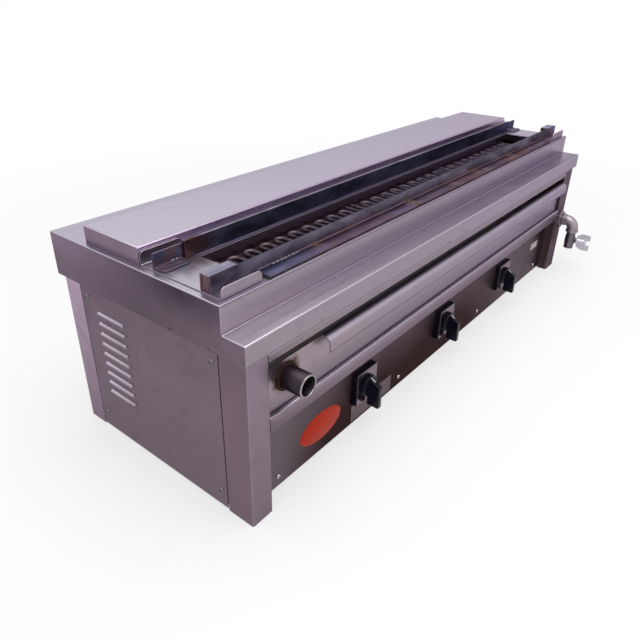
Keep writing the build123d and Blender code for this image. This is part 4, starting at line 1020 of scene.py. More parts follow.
class Workshop:
    """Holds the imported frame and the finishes, and puts finished pieces in place."""

    def __init__(self, frame: dict) -> None:
        """Keep the frame's nodes and start without materials.
        """
        self.nodes = frame["nodes"]
        self.shelf = EffectShelf()
        self.materials: dict[str, Material] = {}

    def material(self, finish: Finish) -> Material:
        """Material of a finish, built once.

        Args:
            finish: Finish.

        Returns:
            Its material.
        """
        if finish.name not in self.materials:
            self.materials[finish.name] = finish.make(self.shelf)
        return self.materials[finish.name]

    def place(
        self, name: str, bm: BMesh, finishes: Sequence[Finish], body: str, stands_for: Sequence[str] = ()
    ) -> Object:
        """Make a piece of a finished bmesh and let it ride on its body.

        Args:
            name: Name of the piece.
            bm: Its mesh, used up here.
            finishes: Finishes in the order of its material indices.
            body: Body that it moves with.
            stands_for: CAD nodes that it replaces.

        Returns:
            The piece.
        """
        mesh = mesh_of(name, bm)
        for finish in finishes:
            mesh.materials.append(self.material(finish))
        mesh.shade_smooth()
        mesh.set_sharp_from_angle(angle=SMOOTH_BELOW)
        piece = put(name, mesh)
        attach(piece, body)
        if stands_for:
            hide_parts(*stands_for)
        log.info("piece %s on %s, %d faces", name, body, len(mesh.polygons))
        return piece

    def stand_in(self, node: str, bm: BMesh, *finishes: Finish) -> Object:
        """Put a piece in place of a CAD node, on the node's body."""
        return self.place(f"{node}_dressed", bm, finishes, self.nodes[node]["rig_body"], [node])

    def flatten(self, piece: Object) -> None:
        """Let large faces shade flat beside rounded edges."""
        piece.modifiers.new("flat_faces", "WEIGHTED_NORMAL").keep_sharp = True

    def break_edges(self, piece: Object, width: float) -> None:
        """Take the sharp edges off a piece.

        Args:
            piece: Piece.
            width: Width of the broken edges in millimetres.
        """
        rounding = piece.modifiers.new("broken_edges", "BEVEL")
        rounding.width = width * MM
        rounding.segments = 2
        rounding.limit_method = "ANGLE"
        rounding.angle_limit = SMOOTH_BELOW
        self.flatten(piece)

    def merged(self, node: str) -> BMesh:
        """Copy of a CAD node's mesh with its loose triangles joined.

        Args:
            node: Node to copy.

        Returns:
            The copy.
        """
        bm = bmesh.new()
        bm.from_mesh(self.nodes[node].data)
        bmesh.ops.remove_doubles(bm, verts=bm.verts, dist=SAME_POINT)
        bmesh.ops.dissolve_limit(bm, angle_limit=FLAT_WITHIN, verts=bm.verts, edges=bm.edges)
        return bm

    def refine(self, finish: Finish, edge: float, *nodes: str) -> None:
        """Put copies with broken edges in place of CAD nodes.

        Args:
            finish: Finish of the copies.
            edge: Width of the broken edges in millimetres.
            *nodes: Nodes to copy.
        """
        for node in nodes:
            self.break_edges(self.stand_in(node, self.merged(node), finish), edge)

    def keep(self, finish: Finish, *nodes: str) -> None:
        """Give CAD nodes that stay as they are a finish.

        Args:
            finish: Finish.
            *nodes: Nodes that get it.
        """
        for node in nodes:
            for slot in self.nodes[node].material_slots:
                slot.material = self.material(finish)
            log.info("node %s kept, finish %s", node, finish.name)


@dataclass
class Assembly:
    """A sub-assembly, dressed in the workshop."""

    shop: Workshop

    def build(self) -> None:
        """Build and dress every piece."""
        raise NotImplementedError


# The side, front and top fades below are painted shade and painted light, with the reddish tint of painted
# reflection; bends get painted shade. Deck: painted shade on its ends and its front
DECK_STEEL = DeckSteel(
    "deck_sheet",
    roughness=0.3,
    side=Fade(Way.Y, -50.0, 270.0, (0.105, 0.081, 0.097), (0.43, 0.335, 0.39)),
    front=Fade(Way.X, -560.0, 700.0, (0.585, 0.525, 0.52), (0.69, 0.635, 0.67)),
)
# Cover: painted shade on its ends, painted light on its front face, painted light on its top that fades to
# the right, and painted shade on its front bend
COVER_STEEL = Steel(
    "cover_sheet",
    roughness=0.3,
    side=even((0.41, 0.325, 0.365)),
    front=Fade(Way.X, -560.0, 400.0, (1.75, 1.5, 1.75), (1.3, 1.08, 1.26)),
    bends=((42.3, 360.2),),
    top=Fade(Way.X, -590.0, 1150.0, (1.1, 1.11, 1.1), (0.93, 0.91, 0.93)),
)
# End plates: painted shade on front and side faces
PLATE_STEEL = Steel("end_plate_sheet", roughness=0.3, run=Way.Y, front=even((0.55, 0.48, 0.49)))
# Posts: painted shade on side and front faces, changing with height
POST_STEEL = Steel(
    "post_sheet",
    roughness=0.36,
    run=Way.Z,
    side_run=Way.Z,
    side=Fade(Way.Z, 265.0, 90.0, (0.3, 0.23, 0.235), (0.36, 0.275, 0.285)),
    front=Fade(Way.Z, 300.0, 300.0, (0.52, 0.44, 0.455), (0.39, 0.33, 0.34)),
)
# Rear posts: painted light on their side faces, lighter than on the front posts
REAR_POST = replace(
    POST_STEEL,
    name="rear_post_sheet",
    side=Fade(Way.Z, 265.0, 265.0, (0.8, 0.66, 0.73), (0.46, 0.36, 0.38)),
)
# Side and rear panels: painted shade on side faces and a painted highlight on the louvre hoods, brightest
# towards the rear
SIDE_STEEL = Steel(
    "side_sheet",
    tone=(0.48, 0.45, 0.51),
    roughness=0.36,
    run=Way.Z,
    side_run=Way.Z,
    side=Fade(Way.Z, 262.0, 80.0, (0.355, 0.29, 0.305), (0.41, 0.34, 0.338)),
    top=Fade(Way.Y, 151.0, 66.0, (1.9, 1.75, 1.85), (1.2, 1.06, 1.15)),
    steep=0.76,
)
# Rails: painted shade on their front faces, darkest at the left end
RAIL_STEEL = RailSteel(
    "rail_sheet",
    front=Fade(Way.X, -570.0, 170.0, (0.36, 0.3, 0.315), (0.46, 0.395, 0.43)),
    smudge=0.5,
)
# Upper rail: painted light evenly over its front faces
UPPER_RAIL = replace(RAIL_STEEL, name="upper_rail_sheet", crown_light=even((1.22, 1.24, 1.14)))
# Inner sheets: a darker steel, with the default painted shade on side and front faces
INNER_STEEL = Steel("inner_sheet", tone=(0.3, 0.26, 0.28), roughness=0.4, smudge=0.6)
# Tray front: painted shade on its front faces, and on the lip's upper slope painted shade that darkens
# towards the back
TRAY_STEEL = ScorchedSteel(
    "tray_sheet",
    roughness=0.32,
    front=Fade(Way.X, -500.0, 800.0, (0.62, 0.54, 0.53), (0.65, 0.6, 0.64)),
    top=Fade(Way.Y, -171.0, 12.0, (0.85, 0.78, 0.84), (0.25, 0.21, 0.235)),
)
# Switch panel: dark steel under a painted brown reflection
PANEL_STEEL = BrownReflectionSteel(
    "switch_panel_sheet", tone=(0.16, 0.127, 0.15), front=even(WHITE), rim=(0.52, 0.49, 0.5), grain=0.1
)
# Right front post: painted shade on front and side faces, over real water stains
WET_POST = DrippedSteel(
    "stained_post_sheet",
    tone=(0.4, 0.355, 0.41),
    roughness=0.38,
    run=Way.Z,
    side_run=Way.Z,
    front=even((0.4, 0.34, 0.36)),
    side=even((0.3, 0.24, 0.25)),
    rim=(0.5, 0.45, 0.48),
)
SCREW_STEEL = Casting("screw_head", "screw_steel", (0.5, 0.46, 0.5), 0.3, 0.02, 0.2)
# Same screw head, darker: painted shade for the screws on the side and rear faces
SHADED_SCREW = replace(SCREW_STEEL, name="shaded_screw_head", tone=(0.2, 0.175, 0.195))
# Dark cross on the screw heads: painted shade standing for the recess
RECESS_SHADE = Moulding("screw_recess_shade", "screw_steel", (0.02, 0.018, 0.018), 0.5)


@dataclass
class Cabinet(Assembly):
    """Legs, panels, rails, screws and the bare labels of the lower body."""

    left: float = -598.0
    right: float = 575.0
    sheet: float = 1.5
    left_panel_y: Pair = (-112.8, 186.6)
    right_panel_y: Pair = (-120.8, 178.6)
    panel_z: Pair = (3.5, 264.6)
    louvre_y: float = 118.0
    louvre_top: float = 228.0
    louvre_pitch: float = 17.7
    louvre_count: int = 9
    louvre_length: float = 66.0
    louvre_half: float = 4.2
    louvre_slit: Pair = (-2.7, 0.4)
    louvre_rise: float = 4.0
    louvre_swell: tuple[Pair, ...] = (
        (1.0, 0.0), (0.89, 0.09), (0.67, 0.4), (0.42, 0.72), (0.18, 0.94), (0.0, 1.0)
    )
    louvre_steps: int = 12
    panel_face: float = -139.0
    rear: float = 228.0
    screw_z: Pair = (32.0, 249.5)
    panel_screw_xs: tuple[float, ...] = (-519.0, -183.33, 152.33, 488.0)
    panel_screw_z: float = 21.0
    left_screw_ys: Pair = (-101.0, 174.0)
    right_screw_ys: Pair = (-109.0, 166.0)
    rear_screw_xs: Pair = (-536.0, 521.0)
    screw_head: tuple[Pair, ...] = ((0.0, 2.4), (1.5, 2.32), (2.8, 1.8), (3.7, 0.9), (4.0, 0.0))
    screw_shank: tuple[Pair, ...] = ((2.0, 0.0), (2.0, -4.5), (0.0, -4.5))
    screw_steps: int = 20
    cross: Spot = (4.4, 0.85, 0.84)
    cross_rise: float = 2.0
    cross_turn: float = 25.0
    sticker: Pair = (-418.0, 54.0)
    sticker_half: Pair = (51.0, 26.5)
    sticker_steps: int = 72
    name_plate: tuple[Pair, Pair] = ((-336.0, 8.5), (-212.0, 42.0))
    small_label: tuple[Pair, Pair] = ((443.0, 74.0), (486.0, 92.0))
    label_corner: float = 1.5
    label_rim: float = 0.4
    film: float = 0.25
    plate: float = 0.8
    edge: float = 0.4

    def build(self) -> None:
        """Build and dress the lower body."""
        shop, edge = self.shop, self.edge
        shop.refine(POST_STEEL, edge, "front_left_leg")
        shop.refine(REAR_POST, edge, "rear_left_leg", "rear_right_leg")
        shop.refine(WET_POST, edge, "front_right_leg")
        self.side_panel("left_side_panel", -1.0, self.left, self.left_panel_y)
        self.side_panel("right_side_panel", 1.0, self.right, self.right_panel_y)
        shop.refine(UPPER_RAIL, edge, "upper_front_rail")
        shop.refine(RAIL_STEEL, edge, "lower_front_rail")
        shop.refine(PANEL_STEEL, edge, "switch_panel")
        shop.refine(SIDE_STEEL, edge, "rear_panel")
        shop.keep(INNER_STEEL, "bottom_plate", "tray_shelf")
        self.screws()
        self.labels()

    def side_panel(self, node: str, way: float, face: float, ys: Pair) -> None:
        """Sheet with slits and a pressed hood over each slit.

        Args:
            node: Node that it stands for.
            way: -1 for the left side, 1 for the right.
            face: X of the outer face.
            ys: Front and rear edges.
        """
        bm = bmesh.new()
        (front, rear), (low, high) = ys, self.panel_z
        Bench.face(bm, [(face, front, low), (face, rear, low), (face, rear, high), (face, front, high)])
        straight = self.louvre_length / 2 - self.louvre_half
        levels = [self.louvre_top - i * self.louvre_pitch for i in range(self.louvre_count)]
        for side in (-1, 1):
            Bench.cut(bm, (face, self.louvre_y + side * straight, 0.0), Way.Y.value)
        for z in (level + drop for level in levels for drop in self.louvre_slit):
            Bench.cut(bm, (face, 0.0, z), Way.Z.value)
        slits = [f for f in bm.faces if self.in_slit(f.calc_center_median() / MM, levels, straight)]
        bmesh.ops.delete(bm, geom=slits, context="FACES")
        for z in levels:
            self.hood(bm, way, face, z, straight)
        for f in bm.faces:
            f.normal_update()
            if f.normal.x * way < 0:
                f.normal_flip()
        piece = self.shop.stand_in(node, bm, SIDE_STEEL)
        wall = piece.modifiers.new("sheet", "SOLIDIFY")
        wall.thickness = self.sheet * MM
        wall.offset = -1.0
        self.shop.flatten(piece)

    def in_slit(self, spot: Vector, levels: Sequence[float], straight: float) -> bool:
        """Whether a point of the sheet lies in one of the slits."""
        low, high = self.louvre_slit
        return abs(spot.y - self.louvre_y) < straight and any(low < spot.z - z < high for z in levels)

    def hood(self, bm: BMesh, way: float, face: float, z: float, straight: float) -> None:
        """Pressed hood with round ends, open along its lower edge.

        Args:
            bm: Mesh of the panel.
            way: -1 for the left side, 1 for the right.
            face: X of the outer face.
            z: Middle height of the hood.
            straight: Half the length between its round ends.
        """
        half, rise = self.louvre_half, self.louvre_rise * way
        new = bmesh.new()
        ends = []
        for side in (-1.0, 1.0):
            centre = mm(face, self.louvre_y + side * straight, z)
            bulge = (centre + mm(rise * up, 0.0, half * out) for out, up in self.louvre_swell)
            verts, edges = Bench.row(new, bulge)
            turn = {"axis": Way.X.value, "angle": side * -math.pi, "steps": self.louvre_steps}
            spun = bmesh.ops.spin(new, geom=verts + edges, cent=centre, **turn)
            ends.append((edges, Bench.only(BMEdge, spun["geom_last"])))
        for left, right in zip(*ends):
            bmesh.ops.bridge_loops(new, edges=left + right)
        bmesh.ops.remove_doubles(new, verts=new.verts, dist=SAME_POINT)
        Bench.cut(new, (face, self.louvre_y, z - half / 2), Way.Z.value, clear_inner=True)
        mesh = mesh_of("hood", new)
        bm.from_mesh(mesh)
        bpy.data.meshes.remove(mesh)

    def screws(self) -> None:
        """Pan heads with a dark cross as the recess's painted shade, for the three sets of panel screws; the
        side and rear sets are painted darker as painted shade.
        """
        ends = ((self.left, self.left_screw_ys, -1.0), (self.right, self.right_screw_ys, 1.0))
        sides = [((x, y, z), (out, 0.0, 0.0)) for x, ys, out in ends for y in ys for z in self.screw_z]
        front = [((x, self.panel_face, self.panel_screw_z), (0.0, -1.0, 0.0)) for x in self.panel_screw_xs]
        back = [((x, self.rear, z), (0.0, 1.0, 0.0)) for x in self.rear_screw_xs for z in self.screw_z]
        # The side and rear sets take the darker head, which is painted shade
        for node, head, spots in (
            ("side_panel_screws", SHADED_SCREW, sides),
            ("switch_panel_screws", SCREW_STEEL, front),
            ("rear_panel_screws", SHADED_SCREW, back),
        ):
            bm = bmesh.new()
            for number, (spot, out) in enumerate(spots):
                self.screw(bm, spot, out, self.cross_turn * number)
            Bench.outward(bm)
            self.shop.stand_in(node, bm, head, RECESS_SHADE)

    def screw(self, bm: BMesh, spot: Spot, out: Spot, turn: float) -> None:
        """One screw with its shank, and a dark cross on its head that is the recess's painted shade.

        Args:
            bm: Mesh of the set.
            spot: Middle of the head's underside.
            out: Direction that the head points in.
            turn: Turn of the cross in degrees.
        """
        Bench.turned(bm, self.screw_head + self.screw_shank, spot, out, self.screw_steps)
        line = Vector(out)
        # The cross is a dark box just proud of the head, painted shade in place of a cut recess
        place = Matrix.Translation(mm(*spot) + line * self.cross_rise * MM)
        place = place @ line.to_track_quat("Z", "Y").to_matrix().to_4x4()
        for quarter in (0.0, 90.0):
            arm = Bench.block(bm, place @ Matrix.Rotation(math.radians(turn + quarter), 4, "Z"), self.cross)
            for f in {f for v in arm for f in v.link_faces}:
                f.material_index = 1

    def labels(self) -> None:
        """Bare oval sticker, bare name plate and a small bare label on the switch panel."""
        red = Film("oval_sticker", "", (0.44, 0.026, 0.01), (0.48, 0.036, 0.012), 0.3)
        white = Film("label_paper", "", (0.52, 0.47, 0.5), (0.42, 0.38, 0.4), 0.5)
        metal = Casting("name_plate", "silver_plate", (0.17, 0.135, 0.135), 0.3, 0.03, 0.35)
        (x, z), half = self.sticker, mm(*self.sticker_half, 0.0)
        oval = Matrix.Translation(mm(x, self.panel_face, z)) @ Matrix.Rotation(math.pi / 2, 4, "X")
        oval = oval @ Matrix.Diagonal((half.x, half.y, 1.0, 1.0))
        bm = bmesh.new()
        bmesh.ops.create_circle(bm, cap_ends=True, segments=self.sticker_steps, radius=1.0, matrix=oval)
        self.raise_label("oval_sticker", bm, red, self.film)
        for name, finish, ((left, low), (right, high)), thick in (
            ("name_plate", metal, self.name_plate, self.plate),
            ("small_label", white, self.small_label, self.film),
        ):
            bm = bmesh.new()
            corners = ((left, low), (right, low), (right, high), (left, high))
            Bench.face(bm, [(x, self.panel_face, z) for x, z in corners])
            Bench.soften(bm, bm.verts, self.label_corner, 4, "VERTICES", False)
            self.raise_label(name, bm, finish, thick)

    def raise_label(self, name: str, bm: BMesh, finish: Finish, thick: float) -> None:
        """Give a flat label its thickness and a soft rim, and place it.

        Args:
            name: Name of the piece.
            bm: Mesh with the label's one face.
            finish: Its finish.
            thick: How far it stands out.
        """
        top = Bench.pull(bm, list(bm.faces), (0.0, -thick, 0.0))
        Bench.outward(bm)
        Bench.soften(bm, Bench.edges_of(top), thick * self.label_rim, 2)
        self.shop.place(name, bm, [finish], "cabinet")


@dataclass
class Deck(Assembly):
    """Stepped top, its end plates and the loose rear cover."""

    deck_edge: float = 0.25
    cover_edge: float = 0.2
    plate_edge: float = 0.3

    def build(self) -> None:
        """Dress the top sheets."""
        self.shop.refine(DECK_STEEL, self.deck_edge, "top_deck")
        self.shop.refine(COVER_STEEL, self.cover_edge, "rear_cover")
        self.shop.refine(PLATE_STEEL, self.plate_edge, "left_end_plate", "right_end_plate")


@dataclass
class HeaterBank(Assembly):
    """Three serpentine heaters on their rails, with terminals in the trough behind."""

    first_x: float = -487.7
    pitch: float = 16.6
    runs: int = 20
    radius: float = 3.25
    height: float = 315.5
    front_bend: float = -72.95
    rear_bend: float = -9.05
    tail: float = 59.0
    stud: float = 15.0
    stud_radius: float = 2.0
    ring: int = 14
    bend_steps: int = 10
    rail_edge: float = 0.35

    def build(self) -> None:
        """Build the tubes and dress what carries them."""
        for number, side in enumerate(("left", "middle", "right")):
            bm = self.tube(self.first_x + number * self.runs * self.pitch)
            self.shop.stand_in(f"heater_{side}", bm, Sheath("heater_tube"))
        burnt = BurntSteel("burnt_rail")
        ceramic = Casting("bush_ceramic", "ceramic", (0.72, 0.69, 0.62), 0.6, 0.1, 0.3, 0.0)
        brass = Casting("terminal_brass", "brass", (0.6, 0.42, 0.16), 0.35, 0.03, 0.4)
        self.shop.refine(burnt, self.rail_edge, "heater_rail_front", "heater_rail_rear")
        self.shop.keep(burnt, "terminal_trough")
        self.shop.keep(ceramic, "terminal_insulators")
        self.shop.keep(brass, "terminal_nuts")

    def tube(self, start_x: float) -> BMesh:
        """One tube, drawn and bent to and fro from its first stud to its last.

        Args:
            start_x: X of the first run.

        Returns:
            The tube's mesh.
        """
        bm = bmesh.new()
        mouth = Matrix.Translation(mm(start_x, self.tail, self.height)) @ Matrix.Rotation(math.pi / 2, 4, "X")
        ring = bmesh.ops.create_circle(bm, segments=self.ring, radius=self.radius * MM, matrix=mouth)["verts"]
        first = Bench.edges_of(ring)
        loop, x, y = first, start_x, self.tail
        for run in range(self.runs):
            to_front = run % 2 == 0
            last = run == self.runs - 1
            end = self.front_bend if to_front else self.tail if last else self.rear_bend
            drawn = bmesh.ops.extrude_edge_only(bm, edges=loop)["geom"]
            bmesh.ops.translate(bm, vec=mm(0.0, end - y, 0.0), verts=Bench.only(BMVert, drawn))
            loop, y = Bench.only(BMEdge, drawn), end
            if last:
                break
            bend = {"axis": Way.Z.value, "angle": math.pi if to_front else -math.pi, "steps": self.bend_steps}
            geom = loop + list({v for e in loop for v in e.verts})
            bent = bmesh.ops.spin(bm, geom=geom, cent=mm(x + self.pitch / 2, y, self.height), **bend)
            loop, x = Bench.only(BMEdge, bent["geom_last"]), x + self.pitch
        for mouth_edges in (first, loop):
            self.stud_on(bm, mouth_edges)
        Bench.outward(bm)
        return bm

    def stud_on(self, bm: BMesh, mouth: Sequence[BMEdge]) -> None:
        """Close a tube's mouth and draw its terminal stud out of it.

        Args:
            bm: Mesh of the tube.
            mouth: Edges of the mouth.
        """
        lid = bmesh.ops.contextual_create(bm, geom=list(mouth))["faces"]
        bmesh.ops.inset_region(bm, faces=lid, thickness=(self.radius - self.stud_radius) * MM)
        Bench.pull(bm, lid, (0.0, self.stud, 0.0))
        bmesh.ops.delete(bm, geom=lid, context="FACES_ONLY")


@dataclass
class Rests(Assembly):
    """Loose iron rests for the skewers, with their weld tacks."""

    middle: float = 2.0
    foot_weld: float = 558.0
    foot_y: float = 12.6
    foot_z: float = 339.9
    foot_seam: float = 14.0
    foot_drops: int = 6
    seam: tuple[Spot, Spot] = ((-477.0, -96.4, 340.4), (-422.0, -96.4, 340.4))
    seam_drops: int = 19
    drop: float = 2.3
    drop_swing: float = 0.9
    drop_turn: float = 2.4
    drop_shape: Spot = (1.25, 0.9, 0.8)
    bar_edge: float = 0.5
    block_edge: float = 0.6

    def build(self) -> None:
        """Dress both rests and run welds along the front seam and the feet."""
        front = Iron(
            "front_rest_iron",
            skin=(0.155, 0.13, 0.178),
            lit_top_tone=(0.13, 0.128, 0.225),
            rust=0.12,
            rusty_x=(-450.0, -370.0),
            rusty=0.22,
            haze=0.9,
            haze_tone=(0.185, 0.108, 0.122),
            haze_scale=14.0,
            haze_least=0.55,
            below_z=345.0,
            shade=Fade(Way.X, -590.0, 110.0, (0.62, 0.62, 0.66), WHITE),
            root=Fade(Way.Y, -96.0, 11.0, (0.22, 0.18, 0.2), WHITE),
            crest_shade=(0.75, 0.68, 0.5),
        )
        block = Iron("rest_block_iron", skin=(0.07, 0.068, 0.095), lit_top_tone=(0.35, 0.33, 0.43), end_rust=True)
        bar = Iron(
            "rear_rest_iron",
            skin=(0.055, 0.053, 0.096),
            lit_top_tone=(0.28, 0.24, 0.285),
            rust=0.02,
            rusty_x=(-468.0, -520.0),
            rusty=0.26,
            haze=0.85,
            haze_tone=(0.1, 0.045, 0.037),
        )
        foot = Iron(
            "rest_foot_iron",
            skin=(0.09, 0.09, 0.16),
            lit_top_tone=(0.215, 0.175, 0.25),
            rust=0.1,
            rusty_x=(0.0, -400.0),
            rusty=0.26,
            haze=0.55,
            haze_tone=(0.15, 0.075, 0.055),
        )
        self.shop.refine(front, self.bar_edge, "front_rest_bar")
        self.shop.refine(block, self.block_edge, "front_rest_blocks")
        self.shop.refine(bar, self.bar_edge, "rear_rest_bar")
        self.shop.refine(foot, self.bar_edge, "rear_rest_feet")
        self.weld("front_rest_weld", "front_rest", self.seam, self.seam_drops)
        for name, side in (("left", -1.0), ("right", 1.0)):
            x = self.middle + side * self.foot_weld
            seam = tuple((along, self.foot_y, self.foot_z) for along in (x, x - side * self.foot_seam))
            self.weld(f"rear_foot_weld_{name}", "rear_rest", seam, self.foot_drops)

    def weld(self, name: str, body: str, seam: tuple[Spot, Spot], drops: int) -> None:
        """Row of overlapping drops of weld metal along a seam.

        Args:
            name: Name of the piece.
            body: Body that it moves with.
            seam: Both ends of the seam.
            drops: How many drops it has.
        """
        bright = Casting("weld_metal", "iron", (0.17, 0.15, 0.175), 0.4, 0.9, 0.9)
        bm = bmesh.new()
        start, end = (mm(*spot) for spot in seam)
        for number in range(drops):
            size = (self.drop + self.drop_swing * math.sin(self.drop_turn * number)) * MM
            shape = Matrix.Diagonal((*(size * part for part in self.drop_shape), 1.0))
            place = Matrix.Translation(start.lerp(end, number / (drops - 1)))
            bmesh.ops.create_icosphere(bm, subdivisions=2, radius=1.0, matrix=place @ shape)
        self.shop.place(name, bm, [bright], body)


@dataclass
class WaterTray(Assembly):
    """Pull-out tray with its folded lip and welded drain pipe."""

    drain_x: float = -518.0
    drain_z: float = 210.0
    face: float = -156.0
    radius: float = 17.0
    bore: float = 13.8
    length: float = 38.0
    rim_edge: float = 0.9
    bore_edge: Pair = (0.6, 0.8)
    mouth: float = 0.6
    pipe_steps: int = 56
    bead: float = 4.6
    bead_rise: float = 0.75
    bead_arc: tuple[int, int, int] = (-20, 111, 13)
    bead_steps: int = 72
    lip_left: float = -444.0
    lip_right: float = 522.0
    lip_cut: float = 0.3
    lip_edge: float = 0.3
    pan_edge: float = 0.35
    lip_outside: tuple[Pair, ...] = (
        (0.4, 240.3), (-7.0, 238.7), (-11.6, 236.9), (-14.3, 234.4),
        (-15.6, 231.2), (-16.0, 227.0), (-16.0, 216.0),
    )
    lip_inside: tuple[Pair, ...] = (
        (-14.5, 216.0), (-14.5, 227.0), (-14.1, 230.6), (-13.0, 233.4),
        (-10.8, 235.5), (-6.6, 237.2), (0.4, 238.7),
    )

    def build(self) -> None:
        """Dress the sheets and turn the pipe and its weld."""
        self.front()
        self.shop.refine(INNER_STEEL, self.pan_edge, "tray_pan")
        self.pipe()
        look = {"pitting": 0.5, "dirt": 0.6, "metal": 0.3, "rim": (0.1, 0.08, 0.07)}
        scale = Casting("weld_scale", "dull_pipe", (0.034, 0.017, 0.016), 0.6, **look)
        arc = [math.radians(a) for a in range(*self.bead_arc)]
        rise = self.bead * self.bead_rise
        bead = [(self.radius + self.bead * math.cos(a), rise * math.sin(a)) for a in arc]
        self.shop.place("drain_weld", self.ring(bead, self.bead_steps), [scale], "tray")

    def ring(self, outline: Sequence[Pair], steps: int) -> BMesh:
        """Outline turned about the drain's axis, away from the front plate.

        Args:
            outline: Radius and distance from the plate.
            steps: Steps in the turn.

        Returns:
            The mesh.
        """
        bm = bmesh.new()
        Bench.turned(bm, outline, (self.drain_x, self.face, self.drain_z), (0.0, -1.0, 0.0), steps)
        Bench.outward(bm)
        return bm

    def pipe(self) -> None:
        """Drain pipe with a bright cut at its mouth."""
        look = {"pitting": 0.06, "dirt": 0.6, "rim": (0.5, 0.45, 0.5)}
        pipe = Casting("drain_pipe_steel", "dull_pipe", (0.045, 0.035, 0.043), 0.42, **look)
        cut = Casting("pipe_mouth_cut", "dull_pipe", (0.34, 0.3, 0.34), 0.35, 0.03, 0.5)
        rim, bore, radius, edge = self.length, self.bore, self.radius, self.rim_edge
        wide, deep = self.bore_edge
        outline = [(bore, 0.0), (bore, rim - deep), (bore + wide, rim), (radius - edge, rim)]
        outline += [(radius, rim - edge), (radius, 0.0), (bore, 0.0)]
        bm = self.ring(outline, self.pipe_steps)
        for f in bm.faces:
            f.material_index = int(f.calc_center_median().y < (self.face - rim + self.mouth) * MM)
        self.shop.stand_in("drain_pipe", bm, pipe, cut)

    def front(self) -> None:
        """Front plate from the CAD node, with the fold of its lip rounded."""
        bm = self.shop.merged("tray_front")
        Bench.cut(bm, (0.0, self.face - self.lip_cut, 0.0), (0.0, -1.0, 0.0), clear_outer=True)
        corners = [(self.lip_left, self.face + y, z) for y, z in self.lip_outside + self.lip_inside]
        Bench.drawn(bm, corners, (self.lip_right - self.lip_left, 0.0, 0.0))
        Bench.outward(bm)
        self.shop.break_edges(self.shop.stand_in("tray_front", bm, TRAY_STEEL), self.lip_edge)


